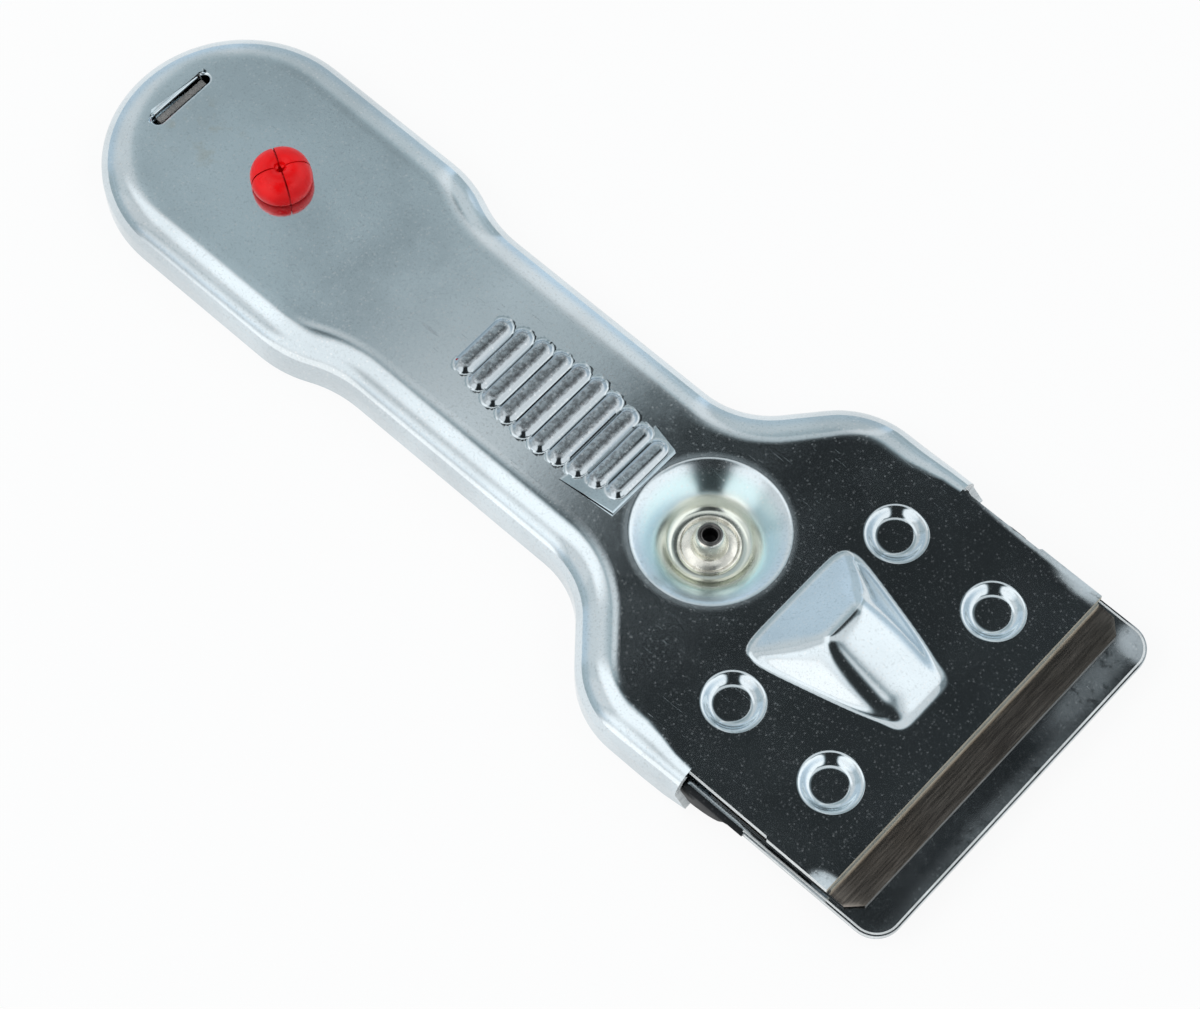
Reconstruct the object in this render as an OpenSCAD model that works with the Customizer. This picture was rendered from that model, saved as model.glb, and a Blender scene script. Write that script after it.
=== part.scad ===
// Razor blade scraper with a sliding blade guard, all in pressed zinc plated steel.
// Millimetres. +X points to the blade, +Z up. The origin is under the middle of the
// whole tool, on the surface that it lies on. Places along the tool are given as
// distances back from the front edge of the top plate.

/* [Body] */
// Length of the body from its round end to the front edge of the plate
body_l = 118.6; // [110:0.1:130]
// Width of the handle at its round end
handle_w = 30.4; // [28:0.1:33]
// Width of the waist, where the thumb lies
waist_w = 25.2; // [23:0.1:27]
// Distance that the front plate stands past the blade at each side
plate_over = 0.3; // [0.2:0.05:0.6]
// Distance that the head's walls stand past the front plate at each side
wall_over = 1.9; // [1.5:0.1:2.5]
// Distance back to the small step in the sides of the plate
plate_step_x = 8.1; // [7:0.1:12]
// Width of the small step in the sides of the plate
plate_step = 0.25; // [0.1:0.05:0.4]
// Height of the side walls, from the resting surface to the top plate
body_h = 5.2; // [5.2:0.05:7]
// Thickness of the body sheet
sheet_t = 0.8; // [0.6:0.05:0.9]
// Outer radius of the bend between top plate and walls
bend_r = 2.7; // [1.8:0.1:3]
// Length of the front plate ahead of the side walls
plate_l = 18.3; // [17:0.1:20]
// Distance back to the start of the head's round shoulders
shoulder_x = 27.2; // [26:0.1:30]
// Radius of the round shoulders
shoulder_r = 11; // [9:0.5:12]
// Radius of the hollow curve between shoulder and waist
hollow_r = 10; // [9:0.5:11]
// Slope of the flank between shoulder and waist
flank_a = 49; // [45:1:55]
// Distance from the round end to the rear end of the waist
waist_end = 45.2; // [42:0.1:48]
// Radius of the two curves that widen the waist to the handle
taper_r = 14.5; // [12:0.5:17]

/* [Cup] */
// Distance back to the middle of the cup and its rivet
cup_x = 34.45; // [34:0.05:35.5]
// Radius of the cup at its rim
cup_r = 8.5; // [8:0.1:9]
// Depth of the cup
cup_depth = 3.6; // [3.4:0.05:3.6]
// Radius of the flat bottom of the cup
cup_floor_r = 3.9; // [3.7:0.1:4.2]
// Radius of the rounded rim of the cup
cup_lip = 1.3; // [1:0.1:1.6]

/* [Dimples and boss] */
// Distance back to the front pair of clinched dimples
dimple_front_x = 7.1; // [6.9:0.1:7.4]
// Distance back to the rear pair of clinched dimples
dimple_rear_x = 20.1; // [19.8:0.1:20.6]
// Distance of each dimple from the middle line, as a share of half the plate's width
dimple_y_share = 0.59; // [0.57:0.01:0.6]
// Radius of a dimple at the plate
dimple_r = 3.2; // [3:0.05:3.3]
// Radius of the flat bottom of a dimple
dimple_floor_r = 2; // [1.8:0.05:2.2]
// Depth of a dimple
dimple_depth = 0.8; // [0.6:0.05:0.8]
// Distance back to the rear edge of the raised boss
boss_rear_x = 22.8; // [22.5:0.1:23]
// Distance back to the front edge of the raised boss
boss_front_x = 5.9; // [5.5:0.1:6.5]
// Width of the boss at its rear edge, as a share of the plate's width
boss_rear_share = 0.38; // [0.36:0.01:0.39]
// Width of the boss at its front edge, as a share of the plate's width
boss_front_share = 0.163; // [0.15:0.001:0.17]
// Distance back to the ridge of the boss
boss_ridge_x = 16.6; // [16:0.1:17]
// Width of the ridge of the boss, as a share of the plate's width
boss_ridge_share = 0.126; // [0.12:0.001:0.13]
// Height of the ridge over the plate
boss_h = 4; // [3.5:0.1:4.2]

/* [Thumb pad] */
// Distance back to the foremost rib
rib_front_x = 44.7; // [44.5:0.1:45]
// Distance from rib to rib
rib_pitch = 2.43; // [2.3:0.01:2.45]
// Number of ribs
rib_n = 10; // [8:1:11]
// Radius of a rib
rib_r = 1; // [0.8:0.05:1.1]
// Half length of a rib in the middle of the pad
rib_half_mid = 5.6; // [5.2:0.1:6]
// Half length of the first and the last rib
rib_half_end = 4.1; // [3.8:0.1:4.4]
// Share of a rib's radius that its axis lies under the plate's face
rib_sink_share = 0.35; // [0.2:0.05:0.5]
// Distance back to the free end of the lanced tongue
tongue_x = 43.2; // [43:0.05:43.3]
// Length of the lanced tongue that carries the foremost ribs
tongue_l = 6; // [5:0.1:7]
// Half width of the lanced tongue at its free end
tongue_half = 5; // [4.8:0.1:5.2]
// Rise of the free end of the tongue over the plate
tongue_rise = 1; // [0.8:0.05:1.2]
// Width of the cut round the lanced tongue
lance_gap = 0.35; // [0.3:0.05:0.5]

/* [Hang slot and plug] */
// Distance from the round end to the middle of the cross slot
slot_end = 6.35; // [6:0.05:6.6]
// Length of the cross slot
slot_l = 8.3; // [8:0.1:8.8]
// Width of the cross slot
slot_w = 1.35; // [1.2:0.05:1.5]
// Distance from the round end to the middle of the plug
plug_end = 22; // [21.6:0.1:22.4]
// Radius of the plug's shank
plug_shank_r = 2.4; // [2.2:0.05:2.6]
// Radius of the split head of the plug over the plate
plug_r = 3.5; // [3.3:0.05:3.7]
// Height of the split head over the plate
plug_h = 3.2; // [3:0.1:3.6]
// Radius of the plug's round foot
plug_foot_r = 4; // [3.8:0.1:4.4]
// Thickness of the plug's round foot
plug_foot_t = 0.7; // [0.6:0.05:0.8]
// Width of the slits in the split head
plug_slit = 0.35; // [0.3:0.05:0.5]
// Radius of the small hole where the slits cross
plug_hole_r = 0.5; // [0.4:0.05:0.6]

/* [Blade] */
// Width of the blade across the tool
blade_w = 42.4; // [41:0.1:42.6]
// Length of the blade from its rear edge to its cutting edge
blade_l = 19; // [18:0.1:19.2]
// Thickness of the blade
blade_t = 0.3; // [0.2:0.05:0.35]
// Distance that the blade stands out of the plate
blade_out = 3.6; // [3:0.1:4]
// Length of the clipped front corners
blade_clip = 1.5; // [1:0.1:2]
// Length of the ground bevel
blade_bevel = 0.8; // [0.6:0.05:1]

/* [Blade plate] */
// Thickness of the blade plate, clinched under the front plate
under_t = 0.8; // [0.6:0.05:0.8]
// Distance back to the rear edge of the blade plate
under_rear_x = 24.6; // [24.3:0.1:24.8]
// Distance that the blade plate stands out of the front plate
under_out = 0.18; // [0.1:0.02:0.3]
// Inset of the blade plate from the sides of the blade
under_inset = 0.1; // [0.05:0.05:0.3]

/* [Guard slide] */
// Distance that the guard stands out of the plate when it covers the blade
guard_out = 7.4; // [7:0.1:8]
// Distance that the guard stands past the front plate at each side
guard_over = 0.5; // [0.4:0.05:0.6]
// Radius of the front corners of the guard
guard_corner_r = 3; // [2:0.1:4]
// Thickness of the guard slide
guard_t = 0.8; // [0.6:0.05:0.8]
// Travel of the guard from closed to open
guard_travel = 7; // [5:0.1:7]
// Gap between blade and guard
guard_gap = 0.1; // [0.05:0.01:0.15]
// Distance back to the foremost full depth of the side flanges
flange_x = 15.4; // [15.2:0.1:15.6]
// Length of the rounded lead of each side flange
flange_lead = 5; // [4:0.1:6]
// Depth of the side flanges under the guard's top face
flange_depth = 2.9; // [2.4:0.1:3]
// Width of the tongue that runs back into the handle
slide_w = 17; // [15:0.1:18]
// Distance from the round end to the rear end of the tongue, guard closed
slide_end = 15.6; // [15:0.1:17]
// Gap between the moving slide and the pieces that it passes
run_gap = 0.3; // [0.2:0.05:0.35]
// Width of the push lug under the slide
lug_w = 13; // [10:0.5:14]
// Distance back to the rear face of the push lug, guard closed
lug_x = 45.6; // [45.4:0.05:45.8]

/* [Rivet and spring] */
// Radius of the rivet's shank
rivet_r = 1.5; // [1.3:0.05:1.7]
// Radius of the rivet's tall tip in the cup
rivet_tip_r = 2; // [1.9:0.05:2.2]
// Height of the rivet's tall tip over its washer
rivet_tip_h = 2.5; // [2.2:0.1:2.6]
// Radius of the hole in the tip
rivet_hole_r = 0.8; // [0.6:0.05:0.9]
// Radius of the rivet's flat head
rivet_head_r = 3.3; // [3:0.1:3.6]
// Thickness of the rivet's flat head
rivet_head_t = 0.4; // [0.3:0.05:0.45]
// Radius of the washer in the cup
washer_r = 3.35; // [3.2:0.05:3.5]
// Thickness of the washer in the cup
washer_t = 0.3; // [0.25:0.05:0.35]
// Radius of the dished spring
dish_r = 9.3; // [9:0.1:9.4]
// Thickness of the dished spring
dish_t = 0.3; // [0.25:0.05:0.35]
// Clearance of holes round the rivet and the plug
hole_gap = 0.05; // [0.02:0.01:0.1]

/* [Handle cover] */
// Thickness of the cover under the handle
cover_t = 0.8; // [0.6:0.05:0.8]
// Distance back to the front edge of the cover
cover_front_x = 54.2; // [54:0.1:56]
// Gap between the cover and the walls
cover_gap = 0.1; // [0.05:0.05:0.2]
// Height of the cover's turned up rim
cover_rim = 1.1; // [0.8:0.05:1.2]
// Gap between the cover's upright tab and the cross slot
tab_gap = 0.3; // [0.25:0.05:0.4]
// Depth of the tab's top under the plate's face
tab_drop = 0.35; // [0.2:0.05:0.5]

/* [Hidden] */
$fn = 64;

overrun = body_h / 5;
arc_step = 8;
corner_step = 15;
bend_steps = 4;
front_x = (body_l - guard_out) / 2;
top_z = body_h;
under_z = top_z - sheet_t;
blade_top_z = under_z - under_t;
guard_top_z = blade_top_z - blade_t - guard_gap;
guard_low_z = guard_top_z - guard_t;
cup_floor_z = top_z - cup_depth;
dish_top_z = cup_floor_z - sheet_t;
lug_low_z = sheet_t / 2;
inner_r = bend_r - sheet_t;
rim_flat_x = bend_r + 2 * run_gap;
lap = bend_r / 10;
hair = sheet_t / 40;

plate_w = blade_w + 2 * plate_over;
guard_w = plate_w + 2 * guard_over;
head_half = plate_w / 2 + wall_over;
waist_x = body_l - waist_end;
slot_x = body_l - slot_end;
plug_x = body_l - plug_end;
slide_rear_x = body_l - slide_end;
dimple_y = plate_w / 2 * dimple_y_share;
boss_rear_w = plate_w * boss_rear_share;
boss_front_w = plate_w * boss_front_share;
boss_ridge_w = plate_w * boss_ridge_share;
under_w = blade_w - 2 * under_inset;
waist_half = waist_w / 2;
handle_half = handle_w / 2;
flank_rise = (shoulder_r + hollow_r) * (1 - cos(flank_a));
flank_l = max(0, (head_half - waist_half - flank_rise) / sin(flank_a));
hollow_x = shoulder_x + (shoulder_r + hollow_r) * sin(flank_a) + flank_l * cos(flank_a);
taper_a = acos(1 - (handle_half - waist_half) / (2 * taper_r));
taper_x = waist_x + 2 * taper_r * sin(taper_a);
round_x = body_l - handle_half;

// Outlines as shares of a radius and a height or length, the rib's with the side of its end
rivet_tip_shares = [[0, 0], [1, 0], [1, 0.55], [0.92, 0.8], [0.7, 1], [0, 1]];
plug_head_shares = [[0, 0], [0.93, 0], [1, 0.3], [0.93, 0.65], [0.7, 0.92], [0.45, 1], [0, 1]];
rib_end_shares = [[0, 0, -1], [0.5, 0.14, -1], [1, 1, -1], [1, 1, 1], [0.5, 0.14, 1], [0, 0, 1]];
bevel_share = 0.8;

// Colours of the finishes
zinc = [0.66, 0.73, 0.77];
zinc_dark = [0.36, 0.39, 0.41];
steel = [0.30, 0.28, 0.27];
brass_grey = [0.78, 0.76, 0.70];
red = [0.85, 0.06, 0.07];

// x of a place that lies a distance back from the plate's front edge
function at(back) = front_x - back;

// Points of an arc as [x, y, outward x, outward y], sign -1 where the body is outside it
function arc(cx, cy, r, a0, a1, sign) =
    let (n = max(2, ceil(abs(a1 - a0) / arc_step)))
    [for (i = [0:n]) let (a = a0 + (a1 - a0) * i / n)
        [cx + r * cos(a), cy + r * sin(a), sign * cos(a), sign * sin(a)]];

// A list without its first entry
function after_first(list) = [for (i = [1:len(list) - 1]) list[i]];

// Half of the body's plan outline, from the front end of the wall to the round end
half_outline = concat(
    [[at(plate_l), head_half, 0, 1]],
    arc(at(shoulder_x), head_half - shoulder_r, shoulder_r, 90, 90 + flank_a, 1),
    arc(at(hollow_x), waist_half + hollow_r, hollow_r, flank_a - 90, -90, -1),
    arc(at(waist_x), waist_half + taper_r, taper_r, -90, -90 - taper_a, -1),
    after_first(arc(at(taper_x), handle_half - taper_r, taper_r, 90 - taper_a, 90, 1)),
    arc(at(round_x), 0, handle_half, 90, 180, 1));

// The half outline drawn in by an inset and moved along the tool
function inset_half(inset, shift = 0) =
    [for (p = half_outline) [p[0] - inset * p[2] + shift, p[1] - inset * p[3]]];

// Both halves of the outline as one loop
function mirrored(half) = concat(
    half, [for (i = [len(half) - 1:-1:0]) if (half[i][1] > 0) [half[i][0], -half[i][1]]]);

// Section of the side wall and its bend as [distance in from the outline, height]
rim_section = concat(
    [[0, 0]],
    [for (i = [0:bend_steps]) let (a = 90 * i / bend_steps)
        [bend_r * (1 - cos(a)), top_z - bend_r + bend_r * sin(a)]],
    [[rim_flat_x, top_z], [rim_flat_x, under_z]],
    [for (i = [bend_steps:-1:0]) let (a = 90 * i / bend_steps)
        [bend_r - inner_r * cos(a), top_z - bend_r + inner_r * sin(a)]],
    [[sheet_t, 0]]);

// The same section drawn in by an inset on its outer side, its top and its foot
function rim_drawn(inset) =
    [for (p = rim_section) [p[0] + inset, p[1] > 0 ? p[1] - inset : inset]];

// Wall along an arc of the outline, sign -1 where the body is outside the arc. It laps
// over its neighbours, and every other piece is drawn in by a hair so that no two of
// their faces coincide.
module rim_arc(cx, cy, r, a0, a1, sign, inset) {
    turn = lap / r * 180 / PI;
    translate([cx, cy, 0])
        rotate_extrude(angle = abs(a1 - a0) + 2 * turn, start = min(a0, a1) - turn)
            polygon([for (p = rim_drawn(inset)) [r - sign * p[0], p[1]]]);
}

// Straight wall from l0 behind a point to l1 ahead of it, turned from the X axis
module rim_straight(x, y, turn, l0, l1, inset) {
    translate([x, y, 0])
        rotate([0, 0, turn])
            translate([-l0, 0, 0])
                rotate([90, 0, 90])
                    linear_extrude(l0 + l1)
                        polygon([for (p = rim_drawn(inset)) [-p[0], p[1]]]);
}

// Side walls with their bend, all round but for the front
module rim() {
    for (side = [0, 1])
        mirror([0, side, 0]) {
            rim_straight(at(shoulder_x), head_half, 0, lap, shoulder_x - plate_l, 0);
            rim_arc(at(shoulder_x), head_half - shoulder_r, shoulder_r, 90, 90 + flank_a, 1, hair);
            rim_straight(at(hollow_x) + hollow_r * sin(flank_a),
                         waist_half + hollow_r * (1 - cos(flank_a)), flank_a,
                         lap, flank_l + lap, 2 * hair);
            rim_arc(at(hollow_x), waist_half + hollow_r, hollow_r, flank_a - 90, -90, -1, hair);
            rim_straight(at(waist_x), waist_half, 0, lap, waist_x - hollow_x + lap, 0);
            rim_arc(at(waist_x), waist_half + taper_r, taper_r, -90, -90 - taper_a, -1, hair);
            rim_arc(at(taper_x), handle_half - taper_r, taper_r, 90 - taper_a, 90, 1, 0);
            rim_straight(at(round_x), handle_half, 0, lap, round_x - taper_x + lap, hair);
        }
    rim_arc(at(round_x), 0, handle_half, 90, 270, 1, 0);
}

// Section of a round dent: z drops from the sheet by depth, with a vertical thickness
module dent(r, floor_r, depth, lip, z, t) {
    slope = depth / (r - floor_r);
    points = [[0, -depth], [floor_r, -depth], [r - lip / 2, -lip * slope / 3], [r, 0],
              [r + lip / 2, 0]];
    rotate_extrude()
        polygon(concat([for (p = points) [p[0], z + p[1]]],
                       [for (i = [len(points) - 1:-1:0]) [points[i][0], z + points[i][1] - t]]));
}

// Places of the four clinched dimples
module dimple_places() {
    for (back = [dimple_front_x, dimple_rear_x], side = [-1, 1])
        translate([at(back), side * dimple_y, 0]) children();
}

// The raised boss grown or shrunk by an inset, standing on height z
module boss_form(inset, z) {
    thin = sheet_t / 4;
    hull() {
        translate([0, 0, z - thin])
            linear_extrude(thin)
                polygon([[at(boss_rear_x - inset), boss_rear_w / 2 - inset],
                         [at(boss_front_x + inset), boss_front_w / 2 - inset],
                         [at(boss_front_x + inset), -boss_front_w / 2 + inset],
                         [at(boss_rear_x - inset), -boss_rear_w / 2 + inset]]);
        for (side = [-1, 1])
            translate([at(boss_ridge_x), side * (boss_ridge_w / 2 - sheet_t), z + boss_h - sheet_t])
                sphere(r = sheet_t - inset / 2, $fn = 16);
    }
}

// Half length of the rib with a given number, counted from the front
function rib_half(i) =
    let (s = 2 * i / (rib_n - 1) - 1)
    rib_half_end + (rib_half_mid - rib_half_end) * (1 - s * s);

// Rise of the lanced tongue at a distance back from its free end
function tongue_z(back) = tongue_rise * max(0, 1 - back / tongue_l);

// Pressed body: top plate, bent side walls, cup, dimples, boss and thumb pad
module body_shell() {
    color(zinc) {
        difference() {
            union() {
                top_plate();
                boss_form(0, top_z);
            }
            boss_form(sheet_t, under_z);
        }
        rim();
        difference() {
            translate([at(cup_x), 0, 0])
                dent(cup_r, cup_floor_r, cup_depth, cup_lip, top_z, sheet_t);
            translate([at(cup_x), 0, 0])
                cylinder(r = rivet_r + hole_gap, h = top_z);
        }
        dimple_places()
            dent(dimple_r, dimple_floor_r, dimple_depth, sheet_t, top_z, sheet_t);
        tongue();
        thumb_ribs();
    }
}

// Flat top between the bends, with its front plate a little wider ahead of a small step
module top_plate() {
    inner = bend_r + run_gap;
    rear = plate_w / 2 - plate_step;
    half = concat(
        [[front_x, plate_w / 2], [at(plate_step_x - plate_step), plate_w / 2],
         [at(plate_step_x), rear], [at(plate_l), rear], [at(plate_l), head_half - inner]],
        after_first(inset_half(inner)));
    difference() {
        translate([0, 0, under_z]) linear_extrude(sheet_t) polygon(mirrored(half));
        translate([at(cup_x), 0, under_z - overrun])
            cylinder(r = cup_r, h = sheet_t + 2 * overrun);
        dimple_places()
            translate([0, 0, under_z - overrun])
                cylinder(r = dimple_r, h = sheet_t + 2 * overrun);
        translate([at(plug_x), 0, under_z - overrun])
            cylinder(r = plug_shank_r + hole_gap, h = sheet_t + 2 * overrun);
        cross_slot();
        tongue_cut();
    }
}

// Cross slot near the round end, with round ends
module cross_slot() {
    for (side = [-1, 1])
        translate([at(slot_x), side * (slot_l - slot_w) / 2, under_z - overrun])
            cylinder(r = slot_w / 2, h = sheet_t + 2 * overrun);
    translate([at(slot_x) - slot_w / 2, -(slot_l - slot_w) / 2, under_z - overrun])
        cube([slot_w, slot_l - slot_w, sheet_t + 2 * overrun]);
}

// Opening that the lanced tongue leaves in the top plate
module tongue_cut() {
    half = tongue_half + lance_gap;
    translate([at(tongue_x + tongue_l), -half, under_z - overrun])
        cube([tongue_l + lance_gap, 2 * half, sheet_t + 2 * overrun]);
}

// Lanced tongue that rises to its free end
module tongue() {
    rear = at(tongue_x + tongue_l);
    rotate([90, 0, 0])
        linear_extrude(2 * tongue_half, center = true)
            polygon([[rear - sheet_t, under_z], [rear, under_z], [at(tongue_x), under_z + tongue_rise],
                     [at(tongue_x), top_z + tongue_rise], [rear, top_z], [rear - sheet_t, top_z]]);
}

// Half round ribs across the thumb pad, the foremost ones on the tongue
module thumb_ribs() {
    for (i = [0:rib_n - 1]) {
        back = rib_front_x + i * rib_pitch;
        on_tongue = back < tongue_x + tongue_l;
        half = min(rib_half(i), on_tongue ? tongue_half - lance_gap : rib_half_mid);
        translate([at(back), 0, top_z + tongue_z(back - tongue_x) - rib_r * rib_sink_share])
            rotate([90, 0, 0])
                rotate_extrude()
                    polygon([for (e = rib_end_shares) [rib_r * e[0], (half - rib_r * e[1]) * e[2]]]);
    }
}

// Flat plate clinched under the front plate by the four dimples
module blade_plate() {
    color(zinc_dark) {
        difference() {
            translate([at(under_rear_x), -under_w / 2, blade_top_z])
                cube([under_rear_x + under_out, under_w, under_t]);
            dimple_places()
                translate([0, 0, blade_top_z - overrun])
                    cylinder(r = dimple_r, h = under_t + 2 * overrun);
            wall_clearance();
        }
        dimple_places()
            dent(dimple_r, dimple_floor_r, dimple_depth, sheet_t, under_z, under_t);
    }
}

// Room for the bend of the side walls behind the front plate
module wall_clearance() {
    for (side = [-1, 1])
        translate([at(under_rear_x + overrun), side > 0 ? plate_w / 2 - bend_r : -plate_w / 2,
                   blade_top_z - overrun])
            cube([under_rear_x + overrun - plate_l + run_gap, bend_r, under_t + 2 * overrun]);
}

// Scraper blade with clipped front corners, a ground bevel and two locating holes
module razor_blade() {
    half = blade_w / 2;
    edge = at(-blade_out);
    color(steel)
        difference() {
            translate([0, 0, blade_top_z - blade_t])
                linear_extrude(blade_t)
                    polygon([[edge - blade_l, half], [edge - blade_clip, half],
                             [edge, half - blade_clip], [edge, blade_clip - half],
                             [edge - blade_clip, -half], [edge - blade_l, -half]]);
            for (side = [-1, 1])
                translate([at(dimple_front_x), side * dimple_y, blade_top_z - blade_t - overrun])
                    cylinder(r = dimple_r + hole_gap, h = blade_t + 2 * overrun);
            bevel_cut(edge);
        }
}

// Wedge ground off the top of the blade along its cutting edge
module bevel_cut(edge) {
    rotate([90, 0, 0])
        linear_extrude(blade_w + 2 * overrun, center = true)
            polygon([[edge - blade_bevel, blade_top_z],
                     [edge - blade_bevel, blade_top_z + overrun],
                     [edge + overrun, blade_top_z + overrun],
                     [edge + overrun, blade_top_z - blade_t * bevel_share],
                     [edge, blade_top_z - blade_t * bevel_share]]);
}

// Half of the slide's plan outline, from its front corner to the rear of its tongue
slide_half = let (side = guard_w / 2, r = guard_corner_r, wide = head_half - sheet_t - run_gap)
    concat(
        [for (a = [0:corner_step:90]) [at(-guard_out) - r + r * cos(a), side - r + r * sin(a)]],
        [[at(flange_x - flange_lead), side], [at(flange_x - flange_lead), wide]],
        [for (p = after_first(half_outline))
            if (p[0] > at(hollow_x) - run_gap)
                [p[0] - (sheet_t + run_gap) * p[2] + guard_travel,
                 p[1] - (sheet_t + run_gap) * p[3]]],
        [[at(hollow_x + run_gap), waist_half - sheet_t - run_gap],
         [at(hollow_x + bend_r), slide_w / 2],
         [at(slide_rear_x - bend_r), slide_w / 2],
         [at(slide_rear_x), slide_w / 2 - bend_r]]);

// Long hole with round ends, from one distance back to another
module long_hole(back0, back1, y, r) {
    for (back = [back0, back1])
        translate([at(back), y, guard_low_z - overrun])
            cylinder(r = r, h = guard_t + 2 * overrun);
    translate([at(back0), y - r, guard_low_z - overrun])
        cube([back0 - back1, 2 * r, guard_t + 2 * overrun]);
}

// Guard with side flanges, guide slots, cup opening, push lug and rear tongue
module guard_slide() {
    cup_open_r = cup_r - cup_lip / 2;
    color(zinc_dark) {
        difference() {
            translate([0, 0, guard_low_z])
                linear_extrude(guard_t)
                    polygon(concat(slide_half,
                        [for (i = [len(slide_half) - 1:-1:0]) [slide_half[i][0], -slide_half[i][1]]]));
            long_hole(cup_x, cup_x - guard_travel, 0, cup_open_r);
            for (side = [-1, 1])
                long_hole(dimple_rear_x, dimple_front_x - guard_travel, side * dimple_y, dimple_r);
            long_hole(plug_x, plug_x - guard_travel, 0, plug_shank_r + run_gap);
        }
        for (side = [-1, 1])
            side_flange(side);
        translate([at(lug_x), -lug_w / 2, lug_low_z])
            cube([guard_t, lug_w, guard_low_z - lug_low_z]);
    }
}

// Flange turned down at one side of the slide, with a rounded lead
module side_flange(side) {
    outer = head_half - sheet_t - run_gap;
    rear = shoulder_x - guard_travel;
    lead = flange_x - flange_lead;
    low = guard_top_z - flange_depth;
    translate([0, side > 0 ? outer : guard_t - outer, 0])
        rotate([90, 0, 0])
            linear_extrude(guard_t)
                polygon(concat(
                    [[at(rear), guard_top_z], [at(rear), low], [at(flange_x), low]],
                    [for (a = [corner_step:corner_step:90])
                        [at(flange_x) + flange_lead * (1 - cos(a)),
                         low + (guard_low_z - low) * sin(a)]],
                    [[at(lead), guard_top_z]]));
}

// Rivet with a flat head below and a tall hollow tip in the cup
module centre_rivet() {
    low = dish_top_z - dish_t;
    tip = cup_floor_z + washer_t;
    color(brass_grey)
        translate([at(cup_x), 0, 0])
            difference() {
                union() {
                    translate([0, 0, low - rivet_head_t]) cylinder(r = rivet_head_r, h = rivet_head_t);
                    translate([0, 0, low]) cylinder(r = rivet_r, h = tip - low);
                    translate([0, 0, tip])
                        rotate_extrude()
                            polygon([for (p = rivet_tip_shares) [rivet_tip_r * p[0], rivet_tip_h * p[1]]]);
                }
                translate([0, 0, tip + rivet_tip_h / 3]) cylinder(r = rivet_hole_r, h = rivet_tip_h);
            }
}

// Washer between the rivet's tip and the bottom of the cup
module cup_washer() {
    color(brass_grey)
        translate([at(cup_x), 0, cup_floor_z])
            difference() {
                cylinder(r = washer_r, h = washer_t);
                translate([0, 0, -overrun]) cylinder(r = rivet_r + hole_gap, h = washer_t + 2 * overrun);
            }
}

// Dished spring under the cup, whose rim carries the slide
module dish_spring() {
    rim = guard_low_z - guard_gap;
    hole = rivet_r + hole_gap;
    flat = cup_floor_r + sheet_t;
    color(steel)
        translate([at(cup_x), 0, 0])
            rotate_extrude()
                polygon([[hole, dish_top_z - dish_t], [flat, dish_top_z - dish_t],
                         [dish_r, rim - dish_t], [dish_r, rim], [dish_r - dish_t, rim],
                         [flat, dish_top_z], [hole, dish_top_z]]);
}

// Plan outline of the handle cover, drawn in from the walls
module cover_plan(inset) {
    polygon(mirrored(concat(
        [[at(cover_front_x + inset), waist_half - sheet_t - inset]],
        [for (p = half_outline) if (p[0] < at(cover_front_x + inset + sheet_t))
            [p[0] - (sheet_t + inset) * p[2], p[1] - (sheet_t + inset) * p[3]]])));
}

// Cover under the handle, with a turned up rim, a recess for the plug and a rear tab
module handle_cover() {
    foot_r = plug_foot_r + run_gap;
    tab_l = slot_w - 2 * tab_gap;
    recess_z = plug_foot_t + run_gap;
    color(zinc) {
        difference() {
            linear_extrude(cover_t + cover_rim) cover_plan(cover_gap);
            translate([0, 0, cover_t]) linear_extrude(cover_rim + overrun) cover_plan(cover_gap + cover_t);
            translate([at(plug_x), 0, -overrun]) cylinder(r = foot_r, h = cover_t + 2 * overrun);
        }
        translate([at(plug_x), 0, 0])
            difference() {
                cylinder(r = foot_r + cover_t, h = recess_z + cover_t);
                translate([0, 0, -overrun]) cylinder(r = foot_r, h = recess_z + overrun);
                cylinder(r = plug_shank_r + hole_gap, h = top_z);
            }
        translate([at(slot_x) - tab_l / 2, -(slot_l - slot_w) / 2, 0])
            cube([tab_l, slot_l - slot_w, top_z - tab_drop]);
    }
}

// Red plug: round foot, shank and a head split into four springy petals
module snap_plug() {
    foot_z = run_gap;
    neck = plug_shank_r;
    color(red)
        translate([at(plug_x), 0, 0])
            difference() {
                union() {
                    translate([0, 0, foot_z]) cylinder(r = plug_foot_r, h = plug_foot_t);
                    translate([0, 0, foot_z]) cylinder(r = neck, h = top_z - foot_z);
                    translate([0, 0, top_z])
                        rotate_extrude()
                            polygon([for (p = plug_head_shares) [plug_r * p[0], plug_h * p[1]]]);
                }
                for (turn = [0, 90])
                    rotate([0, 0, turn + 45])
                        translate([-plug_r - overrun, -plug_slit / 2, top_z - sheet_t])
                            cube([2 * (plug_r + overrun), plug_slit, plug_h + 2 * overrun]);
                translate([0, 0, top_z - sheet_t]) cylinder(r = plug_hole_r, h = plug_h + 2 * overrun);
            }
}

body_shell();
blade_plate();
razor_blade();
guard_slide();
centre_rivet();
cup_washer();
dish_spring();
handle_cover();
snap_plug();
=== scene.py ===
import math

import bmesh
import bpy
from mathutils import Matrix, Vector


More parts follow.
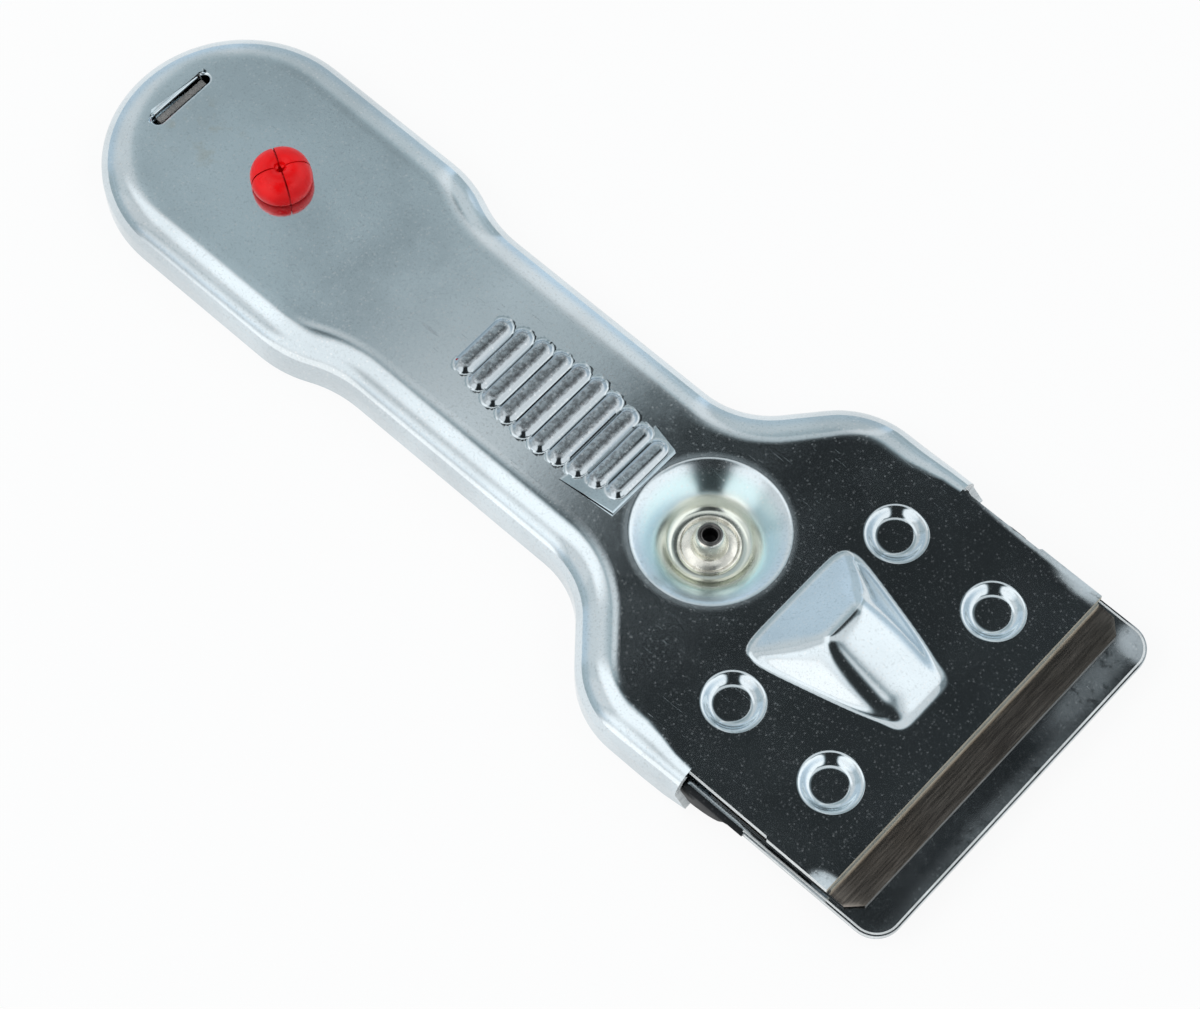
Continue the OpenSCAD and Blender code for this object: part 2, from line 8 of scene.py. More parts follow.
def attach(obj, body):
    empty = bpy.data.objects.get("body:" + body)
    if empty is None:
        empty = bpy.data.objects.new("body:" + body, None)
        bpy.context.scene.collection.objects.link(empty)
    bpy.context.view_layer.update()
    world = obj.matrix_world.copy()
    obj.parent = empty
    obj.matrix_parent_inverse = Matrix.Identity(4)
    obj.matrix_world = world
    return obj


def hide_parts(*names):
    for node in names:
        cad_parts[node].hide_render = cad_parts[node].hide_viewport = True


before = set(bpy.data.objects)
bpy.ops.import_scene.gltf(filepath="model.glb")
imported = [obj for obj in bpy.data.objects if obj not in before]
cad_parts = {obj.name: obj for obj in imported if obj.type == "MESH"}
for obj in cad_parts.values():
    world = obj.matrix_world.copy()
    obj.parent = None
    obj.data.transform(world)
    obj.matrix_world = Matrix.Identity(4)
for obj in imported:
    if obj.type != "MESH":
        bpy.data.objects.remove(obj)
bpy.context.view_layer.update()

# Sizes are in mm. FRONT_X is the front edge of the plate and TOP its height over the floor. Other places
# along the tool are distances back from that edge
MM = 0.001
FRONT_X = 55.6
TOP = 5.2
SHEET = 0.8

# Outline of the body: half widths of head, waist and handle, and the arcs that join them
HEAD, WAIST, HANDLE = 23.399, 12.6, 15.2
PLATE_L, PLATE_HALF, PLATE_NECK = 18.3, 21.5, 21.25
SHOULDER_X, SHOULDER_R = 27.2, 11.0
HOLLOW_R, FLANK_A = 10.0, 49.0
TAPER_R, WAIST_X, BODY_L = 14.5, 73.4, 118.585

# Bend between the top and the walls: tight at the walls' front ends, slow everywhere else
TIGHT_BEND = 2.7
SLOW_BEND, SLOW_DROP = 4.6, 2.75
BEND_STRIP = 0.12
WALL_LEAN, WALL_LIFT = 1.4, 1.2

# Places of the pressed features, and their sizes where another piece needs them
CUP_X, PLUG_X, SLOT_X = 34.45, 96.6, 112.25
CUP_FLOOR, PLUG_HOLE = TOP - 3.6, 2.45
DIMPLE_FRONT, DIMPLE_REAR, DIMPLE_Y = 7.1, 20.1, 12.7

# The stack under the plate. The guard's plate is GUARD_FLAT wide to each side where its flanges bend down
INNER_TOP = TOP - SHEET - 0.03
BLADE_TOP = TOP - 2 * SHEET
GUARD_TOP = BLADE_TOP - 0.4
GUARD_FRONT, GUARD_SIDE, GUARD_CORNER = FRONT_X + 7.39, 22.0, 3.0
GUARD_WIDE, GUARD_FLAT = 22.3, 21.75
FLANGE_FRONT, FLANGE_REAR = 10.4, 20.2
GUARD_TRAVEL = 7.0

# Camera fitted to the photograph: degrees round and above the tool, place, and a focal length in pixels
VIEW_AZ, VIEW_EL = 42.472, 64.0
CAMERA_PLACE = (62.749 + FRONT_X, -123.052, 326.827 + TOP)
PICTURE_W, FOCAL_PX, SENSOR = 1200, 3512.1, 36.0


def at(back):
    """x in the frame, in mm, of a place that lies a distance back from the plate's front edge."""
    return FRONT_X - back


def smooth(a, b, v):
    """0 at a, 1 at b, with a soft start and end."""
    t = min(1.0, max(0.0, (v - a) / (b - a)))
    return t * t * (3 - 2 * t)


# Outline

def arc(cx, cy, r, a0, a1, sign):
    """Points of an arc between two angles, with normals away from its centre, or towards it for sign -1."""
    step = 4.0
    n = max(2, math.ceil(abs(a1 - a0) / step))
    out = []
    for i in range(n + 1):
        a = math.radians(a0 + (a1 - a0) * i / n)
        out.append((cx + r * math.cos(a), cy + r * math.sin(a), sign * math.cos(a), sign * math.sin(a)))
    return out


def run(p, q, n):
    """Points between two points of the outline."""
    return [tuple(p[k] + (q[k] - p[k]) * i / n for k in range(4)) for i in range(1, n)]


def half_outline():
    """Outline of the walls from the front end of the +y wall to the round end: x, y, outward normal."""
    flank_a = math.radians(FLANK_A)
    rise = (SHOULDER_R + HOLLOW_R) * (1 - math.cos(flank_a))
    flank = (HEAD - WAIST - rise) / math.sin(flank_a)
    hollow_x = SHOULDER_X + (SHOULDER_R + HOLLOW_R) * math.sin(flank_a) + flank * math.cos(flank_a)
    taper_a = math.acos(1 - (HANDLE - WAIST) / (2 * TAPER_R))
    taper_x = WAIST_X + 2 * TAPER_R * math.sin(taper_a)
    turn = math.degrees(taper_a)
    parts = [
        [(at(PLATE_L), HEAD, 0.0, 1.0)],
        arc(at(SHOULDER_X), HEAD - SHOULDER_R, SHOULDER_R, 90, 90 + FLANK_A, 1),
        arc(at(hollow_x), WAIST + HOLLOW_R, HOLLOW_R, FLANK_A - 90, -90, -1),
        arc(at(WAIST_X), WAIST + TAPER_R, TAPER_R, -90, -90 - turn, -1),
        arc(at(taper_x), HANDLE - TAPER_R, TAPER_R, 90 - turn, 90, 1)[1:],
        arc(at(BODY_L - HANDLE), 0.0, HANDLE, 90, 180, 1),
    ]
    longest = 2.0
    out = []
    for part in parts:
        if out:
            gap = math.dist(out[-1][:2], part[0][:2])
            if gap > longest:
                out += run(out[-1], part[0], max(2, int(gap / longest)))
        out += part
    return out


HALF = half_outline()
LOOP = HALF + [(x, -y, nx, -ny) for x, y, nx, ny in reversed(HALF[:-1])]


def both(half):
    """A half outline and its mirror image, as one loop."""
    return half + [(x, -y) for x, y in reversed(half) if abs(y) > 1e-6]


def turns(first, span, n):
    """Angles in even steps over a span."""
    return [first + span * k / n for k in range(n + 1)]


def ring(cx, cy, r, z, n):
    return [(cx + r * math.cos(a), cy + r * math.sin(a), z) for a in turns(0.0, 2 * math.pi, n)[:-1]]


def stadium(x0, x1, y, r, n):
    """A slot with round ends, from x0 to x1."""
    half_turn = turns(math.pi / 2, math.pi, n)
    rear = [(x0 + r * math.cos(a), y + r * math.sin(a)) for a in half_turn]
    return rear + [(x1 - r * math.cos(a), y - r * math.sin(a)) for a in half_turn]


# Mesh helpers

def chain(bm, points, closed=False):
    verts = [bm.verts.new(Vector(p) * MM) for p in points]
    pairs = list(zip(verts, verts[1:])) + ([(verts[-1], verts[0])] if closed else [])
    edges = [bm.edges.new(p) for p in pairs]
    return verts, edges


def pull(bm, verts, edges, points):
    """Extrudes a chain of edges and puts the new vertices at the points, in the same order."""
    made = bmesh.ops.extrude_edge_only(bm, edges=edges)["geom"]
    fresh = {v for v in made if isinstance(v, bmesh.types.BMVert)}
    out = []
    for v, p in zip(verts, points):
        w = next(e.other_vert(v) for e in v.link_edges if e.other_vert(v) in fresh)
        w.co = Vector(p) * MM
        out.append(w)
    made_edges = [e for e in made if isinstance(e, bmesh.types.BMEdge)]
    return out, [e for e in made_edges if all(v in fresh for v in e.verts)]


def sweep(bm, rows, closed=False):
    """A surface through rows of points. Returns the edges of the first and of the last row."""
    verts, edges = chain(bm, rows[0], closed)
    first = edges
    for row in rows[1:]:
        verts, edges = pull(bm, verts, edges, row)
    return first, edges


def lathe(bm, cx, cy, profile, n):
    """Rings of a profile (radius, z) round an upright axis. Returns the edges of the first and last ring."""
    return sweep(bm, [ring(cx, cy, r, z, n) for r, z in profile], closed=True)


def close_ends(bm, ends):
    for edges in ends:
        bmesh.ops.contextual_create(bm, geom=edges)


def border(verts):
    """The open edges of a grid, in a fixed order."""
    edges = dict.fromkeys(e for v in verts for e in v.link_edges)
    return [e for e in edges if len(e.link_faces) == 1]


def block(bm, low, high):
    """A box between two corners."""
    for v in bmesh.ops.create_cube(bm, size=1.0)["verts"]:
        v.co = Vector([lo + (hi - lo) * (c + 0.5) for lo, hi, c in zip(low, high, v.co)]) * MM


def to_object(bm, name, smooth_angle=32):
    bmesh.ops.recalc_face_normals(bm, faces=bm.faces)
    me = bpy.data.meshes.new(name)
    bm.to_mesh(me)
    bm.free()
    for p in me.polygons:
        p.use_smooth = True
    me.set_sharp_from_angle(angle=math.radians(smooth_angle))
    ob = bpy.data.objects.new(name, me)
    bpy.context.scene.collection.objects.link(ob)
    return ob


def spun(name, back, profile, n=96):
    """A solid of revolution from a profile (radius, z) that is closed or starts and ends on the axis."""
    bm = bmesh.new()
    verts, edges = chain(bm, [(at(back) + r, 0, z) for r, z in profile])
    bmesh.ops.spin(bm, geom=verts + edges, cent=Vector((at(back), 0, 0)) * MM, axis=(0, 0, 1),
                   angle=2 * math.pi, steps=n, use_merge=True, use_duplicate=False)
    bmesh.ops.remove_doubles(bm, verts=bm.verts, dist=1e-7)
    bmesh.ops.dissolve_degenerate(bm, edges=bm.edges, dist=1e-8)
    return to_object(bm, name)


def settle(ob, smooth_angle=None):
    """Turns the object's modifiers into its mesh."""
    bpy.context.view_layer.update()
    deps = bpy.context.evaluated_depsgraph_get()
    me = bpy.data.meshes.new_from_object(
        ob.evaluated_get(deps), preserve_all_data_layers=True, depsgraph=deps)
    ob.modifiers.clear()
    ob.data = me
    me.name = ob.name
    if smooth_angle is not None:
        me.set_sharp_from_angle(angle=math.radians(smooth_angle))


def finish_sheet(bm, name, thickness, edge, segments=2, outer_up=True):
    """Makes a sheet of its outer side: the thickness goes in, then the cut edges are softened."""
    ob = to_object(bm, name, 60)
    widest = max(ob.data.polygons, key=lambda p: p.area)
    if (widest.normal.z > 0) != outer_up:
        ob.data.flip_normals()
    solid = ob.modifiers.new("thickness", "SOLIDIFY")
    solid.thickness = thickness * MM
    solid.offset = -1.0
    solid.use_even_offset = False
    settle(ob, 38)
    soft = ob.modifiers.new("edge", "BEVEL")
    soft.width = edge * MM
    soft.segments = segments
    soft.limit_method = "ANGLE"
    soft.angle_limit = math.radians(60)
    soft.harden_normals = True
    soft.use_clamp_overlap = True
    settle(ob)
    return ob


# Body sheet

def bend_row(slow_in, slow_down, tight_in, tight_down):
    """One row along the bend: how far in from the wall and down from the top, slow and tight."""
    row = []
    for x, y, nx, ny in LOOP:
        k = smooth(at(PLATE_L + 8), at(PLATE_L + 0.5), x)
        u = slow_in + (tight_in - slow_in) * k
        d = slow_down + (tight_down - slow_down) * k
        row.append((x - u * nx, y - u * ny, TOP - d))
    return row


def foot_row(z):
    """One row of the wall. Its cut front end leans forward, and its foot lifts a little there."""
    row = []
    for x, y, nx, ny in LOOP:
        k = smooth(at(PLATE_L + 5), at(PLATE_L), x) * (1 - z / (TOP - TIGHT_BEND))
        row.append((x + WALL_LEAN * k, y, z + WALL_LIFT * k * smooth(at(PLATE_L + 4), at(PLATE_L), x)))
    return row


def rim_rows():
    """Rows of the bend and the wall, from the flat top outwards and down to the foot."""
    rows = [bend_row(SLOW_BEND + BEND_STRIP, 0.0, TIGHT_BEND + BEND_STRIP, 0.0)]
    steps = 13
    for i in range(steps + 1):
        a = math.pi / 2 * i / steps
        b = math.pi / 2 * (1 - i / steps)
        rows.append(bend_row(SLOW_BEND * (1 - math.sin(a) ** (2 / 2.4)),
                             SLOW_DROP * (1 - max(0.0, math.cos(a)) ** (2 / 1.8)),
                             TIGHT_BEND * (1 - math.cos(b)), TIGHT_BEND * (1 - math.sin(b))))
    return rows + [foot_row(z) for z in (1.6, 0.7, 0.15, 0.0)]


def plate_edge(bm, rim):
    """Edges of the plate that stands out in front of the walls, from one end of the rim to the other."""
    ends = {v for e in rim for v in e.verts if abs(v.co.x - at(PLATE_L) * MM) < 1e-7}
    ends = sorted(ends, key=lambda v: -v.co.y)
    pts = [(at(PLATE_L), PLATE_NECK), (at(8.1), PLATE_NECK), (at(7.85), PLATE_HALF), (FRONT_X, PLATE_HALF)]
    verts = [ends[0]] + [bm.verts.new(Vector((x, y, TOP)) * MM) for x, y in both(pts)] + [ends[-1]]
    return [bm.edges.new(p) for p in zip(verts, verts[1:])]


# Radius and height over the plate, from the rim inwards
CUP = [(8.6, 0), (8.56, 0), (8.5, -0.006), (8.4, -0.025), (8.28, -0.065), (8.1, -0.15), (7.9, -0.27),
       (7.6, -0.47), (7.25, -0.7), (6.75, -1.02), (6.25, -1.39), (5.75, -1.81), (5.4, -2.16), (5.1, -2.51),
       (4.85, -2.83), (4.62, -3.12), (4.4, -3.34), (4.15, -3.5), (3.9, -3.58), (3.5, -3.6), (1.62, -3.6),
       (1.55, -3.62)]
DIMPLE = [(3.9, 0), (3.86, 0), (3.7, 0.003), (3.5, 0.004), (3.32, -0.012), (3.15, -0.06), (2.98, -0.18),
          (2.8, -0.34), (2.6, -0.52), (2.4, -0.66), (2.2, -0.75), (2.0, -0.79), (1.7, -0.8), (0.9, -0.8)]


def dimples(bm, top, profile, n):
    """The four clinched dimples. Returns the edges of their rims."""
    rims = []
    for back in (DIMPLE_FRONT, DIMPLE_REAR):
        for s in (-1, 1):
            rim, foot = lathe(bm, at(back), s * DIMPLE_Y, [(r, top + z) for r, z in profile], n)
            close_ends(bm, [foot])
            rims += rim
    return rims


def slot_rim(bm):
    """Rounded rim of the cross slot. Returns its outer edges."""
    r = 0.675
    half = 4.15 - r
    rows = []
    for grow, z in ((0.36, 0.0), (0.32, 0.0), (0.2, -0.012), (0.1, -0.045), (0.03, -0.11), (0.0, -0.22)):
        row = []
        for s in (1, -1):
            for a in turns(0.0, math.pi, 12):
                y = half + (r + grow) * math.sin(a)
                row.append((at(SLOT_X) + s * (r + grow) * math.cos(a), s * y, TOP + z))
        rows.append(row)
    return sweep(bm, rows, closed=True)[0]


def soft_min(a, b, k):
    """The lower of two heights, with the corner between them rounded."""
    m = min(a, b)
    return m - k * math.log(math.exp((m - a) / k) + math.exp((m - b) / k))


def boss_height(x, y):
    """Height of the pressed boss over the plate: rear, front and side faces of a wedge."""
    rear, front, ridge, high = 22.9, 5.5, 16.7, 4.26
    narrow, broad, side_run = 3.6, 8.3, 3.75
    foot = narrow + (broad - narrow) * (x - front) / (rear - front)
    back_face = high * (rear - x) / (rear - ridge)
    front_face = high * (x - front) / (ridge - front)
    side = (foot - abs(y)) / side_run
    side_face = high * (side ** 0.8 if side > 0 else side)
    down = min(1.0, max(0.0, (ridge - x) / (ridge - front)))
    h = soft_min(front_face, side_face, 0.4 + 0.75 * down * smooth(front, front + 3.0, x))
    h = soft_min(h, back_face, 0.42 + 0.5 * smooth(2.0, 4.5, abs(y)))
    return max(0.0, h)


def pressed(x, y, height, r, n=3):
    """Mean of a height over a small disc, which rounds its creases as a press does."""
    total = weight = 0.0
    for i in range(-n, n + 1):
        for j in range(-n, n + 1):
            d = math.hypot(i, j) / (n + 0.5)
            if d > 1:
                continue
            w = 1 - d * d
            total += w * height(x + i * r / n, y + j * r / n)
            weight += w
    return total / weight


def boss_patch(bm):
    """Patch of the plate that carries the boss, its creases softest at the front. Returns its border."""
    rear, front, half = 24.4, 4.4, 8.65
    grid = bmesh.ops.create_grid(bm, x_segments=84, y_segments=76, size=1.0)["verts"]
    for v in grid:
        x = rear + (front - rear) * (v.co.x + 1) / 2
        y = half * v.co.y
        on_border = max(abs(v.co.x), abs(v.co.y)) > 1 - 1e-6
        soft = 0.55 + 0.45 * (1 - smooth(5.0, 10.0, x))
        z = 0.0 if on_border else pressed(x, y, boss_height, soft)
        v.co = Vector((at(x), y, TOP + z)) * MM
    return border(grid)


RIB_X = [44.7 + 2.43 * i for i in range(10)]
RIB_HALF = [4.24, 4.61, 5.02, 5.27, 5.54, 5.48, 5.28, 4.97, 4.51, 4.03]


def rib_height(x, y):
    """Broad rounded ribs that meet in narrow grooves."""
    half_w, end, rise = 1.19, 1.15, 0.52
    h = 0.0
    for rx, half in zip(RIB_X, RIB_HALF):
        over = max(0.0, abs(y) - (half - end)) / end
        d = math.hypot((x - rx) / half_w, over)
        if d < 1:
            h = max(h, rise * (1 - d ** 2.9))
    return h


# Lanced tongue: how far back its tip and the roots of its two cuts lie
TONGUE_TIP, LEFT_ROOT, RIGHT_ROOT = 43.2, 49.9, 46.6


def tongue_left(x):
    return -(5.4 + 0.7 * (x - TONGUE_TIP) / (LEFT_ROOT - TONGUE_TIP))


def tongue_right(x):
    return 4.24 + 0.96 * (x - TONGUE_TIP) / (RIGHT_ROOT - TONGUE_TIP)


def tongue_rise(x, y):
    """Rise of the tongue: it starts at the roots of its cuts and grows to the tip."""
    t = (y - tongue_left(x)) / (tongue_right(x) - tongue_left(x))
    root = LEFT_ROOT + (RIGHT_ROOT - LEFT_ROOT) * min(1.0, max(0.0, t))
    s = max(0.0, (root - x) / (root - TONGUE_TIP))
    return 0.6 * s ** 1.2


def rib_patch(bm):
    """Patch with the thumb ribs, with the tongue cut free round its front. Returns its border."""
    front, rear, half, gap = 43.06, 69.0, 7.0, 0.1
    rows, side_cols, mid_cols = 150, 6, 44
    # columns of the grid: left of the left cut, the tongue, right of the right cut
    left_col, right_col = side_cols + 1, side_cols + 1 + mid_cols
    cols = right_col + 1 + side_cols
    xs = [front, TONGUE_TIP - gap]
    steps = rows - len(xs)
    xs += [TONGUE_TIP + (rear - TONGUE_TIP) * k / steps for k in range(steps + 1)]
    grid = bmesh.ops.create_grid(bm, x_segments=cols, y_segments=rows, size=1.0)["verts"]
    where = {}
    for v in grid:
        i, j = round((v.co.y + 1) / 2 * rows), round((v.co.x + 1) / 2 * cols)
        where[v] = (i, j)
        x = xs[i]
        # the columns follow the cuts between tip and roots, and run straight on past them
        l = tongue_left(min(max(x, TONGUE_TIP), LEFT_ROOT))
        r = tongue_right(min(max(x, TONGUE_TIP), RIGHT_ROOT))
        if j < left_col:
            y = -half + (l - gap + half) * j / side_cols
        elif j <= right_col:
            y = l + (r - l) * (j - left_col) / mid_cols
        else:
            y = r + gap + (half - r - gap) * (j - right_col - 1) / side_cols
        z = rib_height(x, y)
        if left_col <= j <= right_col and i > 1:
            z += tongue_rise(x, y)
        v.co = Vector((at(x), y, TOP + z)) * MM
    edges = border(grid)
    cut = []
    for f in dict.fromkeys(f for v in grid for f in v.link_faces):
        i = min(where[v][0] for v in f.verts)
        j = min(where[v][1] for v in f.verts)
        in_left = i > 1 and j == left_col - 1 and xs[i] < LEFT_ROOT
        in_right = i > 1 and j == right_col and xs[i] < RIGHT_ROOT
        in_front = i == 1 and left_col - 1 <= j <= right_col
        if in_left or in_right or in_front:
            cut.append(f)
    bmesh.ops.delete(bm, geom=cut, context="FACES")
    return edges


def body_sheet():
    bm = bmesh.new()
    rim = sweep(bm, rim_rows())[0]
    edges = rim + plate_edge(bm, rim)
    edges += lathe(bm, at(CUP_X), 0, [(r, TOP + z) for r, z in CUP], 112)[0]
    edges += dimples(bm, TOP, DIMPLE, 64)
    edges += chain(bm, ring(at(PLUG_X), 0, PLUG_HOLE, TOP, 40), closed=True)[1]
    edges += slot_rim(bm)
    edges += rib_patch(bm)
    edges += boss_patch(bm)
    bmesh.ops.triangle_fill(bm, use_beauty=True, edges=edges)
    return finish_sheet(bm, "shell", SHEET, 0.1)


shell = body_sheet()
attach(shell, "body")
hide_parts("body_shell")


# Blade and the sheet over it

def razor():
    """Section from the rear to the ground edge, swept across the width with clipped corners."""
    edge, half, depth, thick = FRONT_X + 3.6, 21.2, 19.0, 0.3
    clip, ground, ground_rise, steps = 1.5, 0.82, 0.265, 40
    back, low, flat = edge - depth, BLADE_TOP - thick, half - clip
    corner = [half - clip * k / 3 for k in range(3)]
    middle = [-flat + 2 * flat * k / steps for k in range(steps + 1)]
    rows = []
    for y in [-y for y in corner] + middle + corner[::-1]:
        cut = max(0.0, abs(y) - flat)
        tip = edge - cut
        rows.append([(back, y, low), (back, y, BLADE_TOP), (tip - ground + cut * 0.2, y, BLADE_TOP),
                     (tip, y, low + ground_rise), (tip, y, low)])
    bm = bmesh.new()
    close_ends(bm, sweep(bm, rows, closed=True))
    return to_object(bm, "blade", 5)


blade = razor()
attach(blade, "body")
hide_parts("razor_blade")


def under_plate():
    half, rear_half, step = 20.95, 18.8, 0.7
    front, neck, rear = FRONT_X + 0.18, at(PLATE_L - 0.3), at(24.6)
    pts = [(front, half), (front - 2.2, half), (front - 2.2 - step, half - step), (neck, half - step),
           (neck, rear_half), (rear, rear_half)]
    bm = bmesh.new()
    edges = chain(bm, [(x, y, INNER_TOP) for x, y in both(pts)], closed=True)[1]
    edges += dimples(bm, INNER_TOP, [(r, min(0.0, z)) for r, z in DIMPLE[2:]], 48)
    bmesh.ops.triangle_fill(bm, use_beauty=True, edges=edges)
    return finish_sheet(bm, "inner_plate", SHEET - 0.04, 0.07)


inner = under_plate()
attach(inner, "body")
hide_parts("blade_plate")


# Guard

def guard_half():
    """Half outline of the guard's plate: front corner, flange, shoulder, and the tongue into the handle."""
    r, inset = GUARD_CORNER, 1.4
    shoulder_end, waist, tongue_root, tongue_rear, tongue_end = 46.3, 46.6, 49.0, 100.3, 103.0
    tongue, tongue_tip = 8.5, 5.8
    pts = []
    for a in turns(0.0, math.pi / 2, 12):
        pts.append((GUARD_FRONT - r + r * math.cos(a), GUARD_SIDE - r + r * math.sin(a)))
    pts.append((at(FLANGE_FRONT), GUARD_SIDE))
    steps = 16
    for k in range(steps + 1):
        pts.append((at(FLANGE_FRONT) + (at(FLANGE_REAR) - at(FLANGE_FRONT)) * k / steps, GUARD_FLAT))
    # the shoulder follows the walls, and still clears them when the guard is drawn back
    walls = [p for p in HALF[1:] if p[0] > at(shoulder_end)]
    shoulder = [(x - inset * nx + GUARD_TRAVEL, y - inset * ny) for x, y, nx, ny in walls]
    pts += [p for p in shoulder if p[0] < at(FLANGE_REAR)]
    return pts + [(at(waist), WAIST - inset), (at(tongue_root), tongue), (at(tongue_rear), tongue),
                  (at(tongue_end), tongue_tip)]


def flange_depth(x):
    """Depth of the side flange under the guard's top face at a place along the tool."""
    deep, least, taper, taper_l = 2.9, 0.35, 17.4, 4.6
    t = max(0.0, (taper - (FRONT_X - x)) / taper_l)
    return max(least, deep - 2.1 * (1 - math.sqrt(max(0.0, 1 - t * t))) - 0.45 * t)


def side_flange(bm, rim, s):
    """Bends the flange on one side down from the plate's rim."""
    near = 1e-7
    y0, x0, x1 = s * GUARD_FLAT * MM, at(FLANGE_REAR) * MM - near, at(FLANGE_FRONT) * MM + near
    edges = [e for e in rim if all(abs(v.co.y - y0) < near and x0 <= v.co.x <= x1 for v in e.verts)]
    verts = sorted({v for e in edges for v in e.verts}, key=lambda v: -v.co.x)
    bend, steps, rows = GUARD_WIDE - GUARD_FLAT, 5, 7
    for k in range(1, steps + 1):
        a = math.pi / 2 * k / steps
        y = s * (GUARD_FLAT + bend * math.sin(a))
        pts = []
        for x in [v.co.x / MM for v in verts]:
            down = min(bend * (1 - math.cos(a)), flange_depth(x) * k / rows)
            pts.append((x, y, GUARD_TOP - down))
        verts, edges = pull(bm, verts, edges, pts)
    for share in (0.5, 1.0):
        pts = []
        for x in [v.co.x / MM for v in verts]:
            bent = min(bend, flange_depth(x) * steps / rows)
            pts.append((x, s * GUARD_WIDE, GUARD_TOP - (bent + (flange_depth(x) - bent) * share)))
        verts, edges = pull(bm, verts, edges, pts)


def guard():
    """The slide's plate with its openings, which are as long as the travel, and its two side flanges."""
    outlines = [both(guard_half()),
                stadium(at(CUP_X), at(CUP_X - GUARD_TRAVEL), 0, 7.85, 28),
                stadium(at(PLUG_X), at(PLUG_X - GUARD_TRAVEL), 0, 2.7, 16)]
    for s in (-1, 1):
        outlines.append(stadium(at(DIMPLE_REAR), at(DIMPLE_FRONT - GUARD_TRAVEL), s * DIMPLE_Y, 3.2, 20))
    bm = bmesh.new()
    rims = [chain(bm, [(x, y, GUARD_TOP) for x, y in outline], closed=True)[1] for outline in outlines]
    bmesh.ops.triangle_fill(bm, use_beauty=True, edges=[e for rim in rims for e in rim])
    for s in (-1, 1):
        side_flange(bm, rims[0], s)
    return finish_sheet(bm, "guard", SHEET, 0.2, segments=3)


def push_lug():
    """The lug under the guard that the fingertip pushes."""
    front, half, gap = at(45.6), 6.5, 0.4
    bm = bmesh.new()
    block(bm, (front, -half, gap), (front + SHEET, half, GUARD_TOP - gap))
    bmesh.ops.bevel(bm, geom=list(bm.edges), offset=0.15 * MM, segments=2, profile=0.5, affect="EDGES",
                    material=-1)
    return to_object(bm, "lug", 35)


def guard_lip():
    """The rounded lip along the guard's front edge and corners, with a painted highlight in the pale
    sheared-edge finish.
    """
    proud, r = 0.01, GUARD_CORNER
    front, side = GUARD_FRONT + proud, GUARD_SIDE + proud
    path = []
    for a in turns(0.0, math.pi / 2, 24):
        path.append((front - r + r * math.cos(a), side - r + r * math.sin(a), math.cos(a), math.sin(a)))
    path.append((at(FLANGE_FRONT + 0.2), side, 0.0, 1.0))
    path = [(x, -y, nx, -ny) for x, y, nx, ny in reversed(path)] + path
    # how far in from the edge, and how far over the guard's top
    section = ((0.0, -0.6), (0.0, -0.2), (0.04, -0.1), (0.12, -0.02), (0.22, 0.015), (0.34, 0.008),
               (0.5, -0.02), (0.5, -0.6))
    rows = [[(x - u * nx, y - u * ny, GUARD_TOP + z) for u, z in section] for x, y, nx, ny in path]
    bm = bmesh.new()
    close_ends(bm, sweep(bm, rows, closed=True))
    return to_object(bm, "guard_lip", 50)


guard_ob, lug, lip = guard(), push_lug(), guard_lip()
for o in (guard_ob, lug, lip):
    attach(o, "guard")
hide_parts("guard_slide")


# Cover under the handle

def cover():
    """A pan: rim top, outer wall, rounded edge, then the flat bottom with the plug's recess."""
    front, inset = at(54.2), SHEET + 0.1
    walls = [(x - inset * nx, y - inset * ny) for x, y, nx, ny in HALF]
    outer = [Vector(p) for p in both([(front, WAIST - inset)] + [p for p in walls if p[0] < front - 0.5])]
    n = len(outer)
    out = []
    for i in range(n):
        t = outer[(i + 1) % n] - outer[i - 1]
        out.append(Vector((t.y, -t.x)).normalized())
    rows = []
    for u, z in ((0.0, 1.9), (0.0, 1.0), (0.0, 0.7), (0.09, 0.35), (0.3, 0.11), (0.62, 0.01), (0.8, 0.0)):
        rows.append([(p.x - u * q.x, p.y - u * q.y, z) for p, q in zip(outer, out)])
    bm = bmesh.new()
    edges = sweep(bm, rows, closed=True)[1]
    recess = [(5.4, 0.0), (5.1, 0.01), (4.85, 0.08), (4.7, 0.25), (4.62, 0.55), (4.5, 0.85), (4.25, 0.98),
              (PLUG_HOLE, 1.0)]
    edges += lathe(bm, at(PLUG_X), 0, recess, 64)[0]
    bmesh.ops.triangle_fill(bm, use_beauty=True, edges=edges)
    return finish_sheet(bm, "cover", SHEET, 0.07, outer_up=False)


def cover_tab():
    """The cover's upright tab in the cross slot, its sheared end rough."""
    half_thick, half, low, high = 0.37, 3.45, 0.4, 4.75
    bm = bmesh.new()
    block(bm, (at(SLOT_X) - half_thick, -half, low), (at(SLOT_X) + half_thick, half, high))
    for axis, cuts in ((1, 40), (0, 5)):
        edges = [e for e in bm.edges if abs(e.verts[0].co[axis] - e.verts[1].co[axis]) > 1e-5]
        bmesh.ops.subdivide_edges(bm, edges=edges, cuts=cuts, use_grid_fill=True)
    for v in bm.verts:
        if v.co.z > (high - 0.05) * MM:
            x, y = v.co.x / MM - at(SLOT_X), v.co.y / MM
            rough = 0.05 * math.sin(9 * y + 2 * x) + 0.04 * math.sin(23 * y + 5 * x)
            v.co.z += (rough - 0.12 * smooth(0.05, 0.4, x)) * MM
    return to_object(bm, "cover_tab", 40)


cover_ob, tab = cover(), cover_tab()
for o in (cover_ob, tab):
    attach(o, "body")
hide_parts("handle_cover")


# Rivet, washer and dished spring

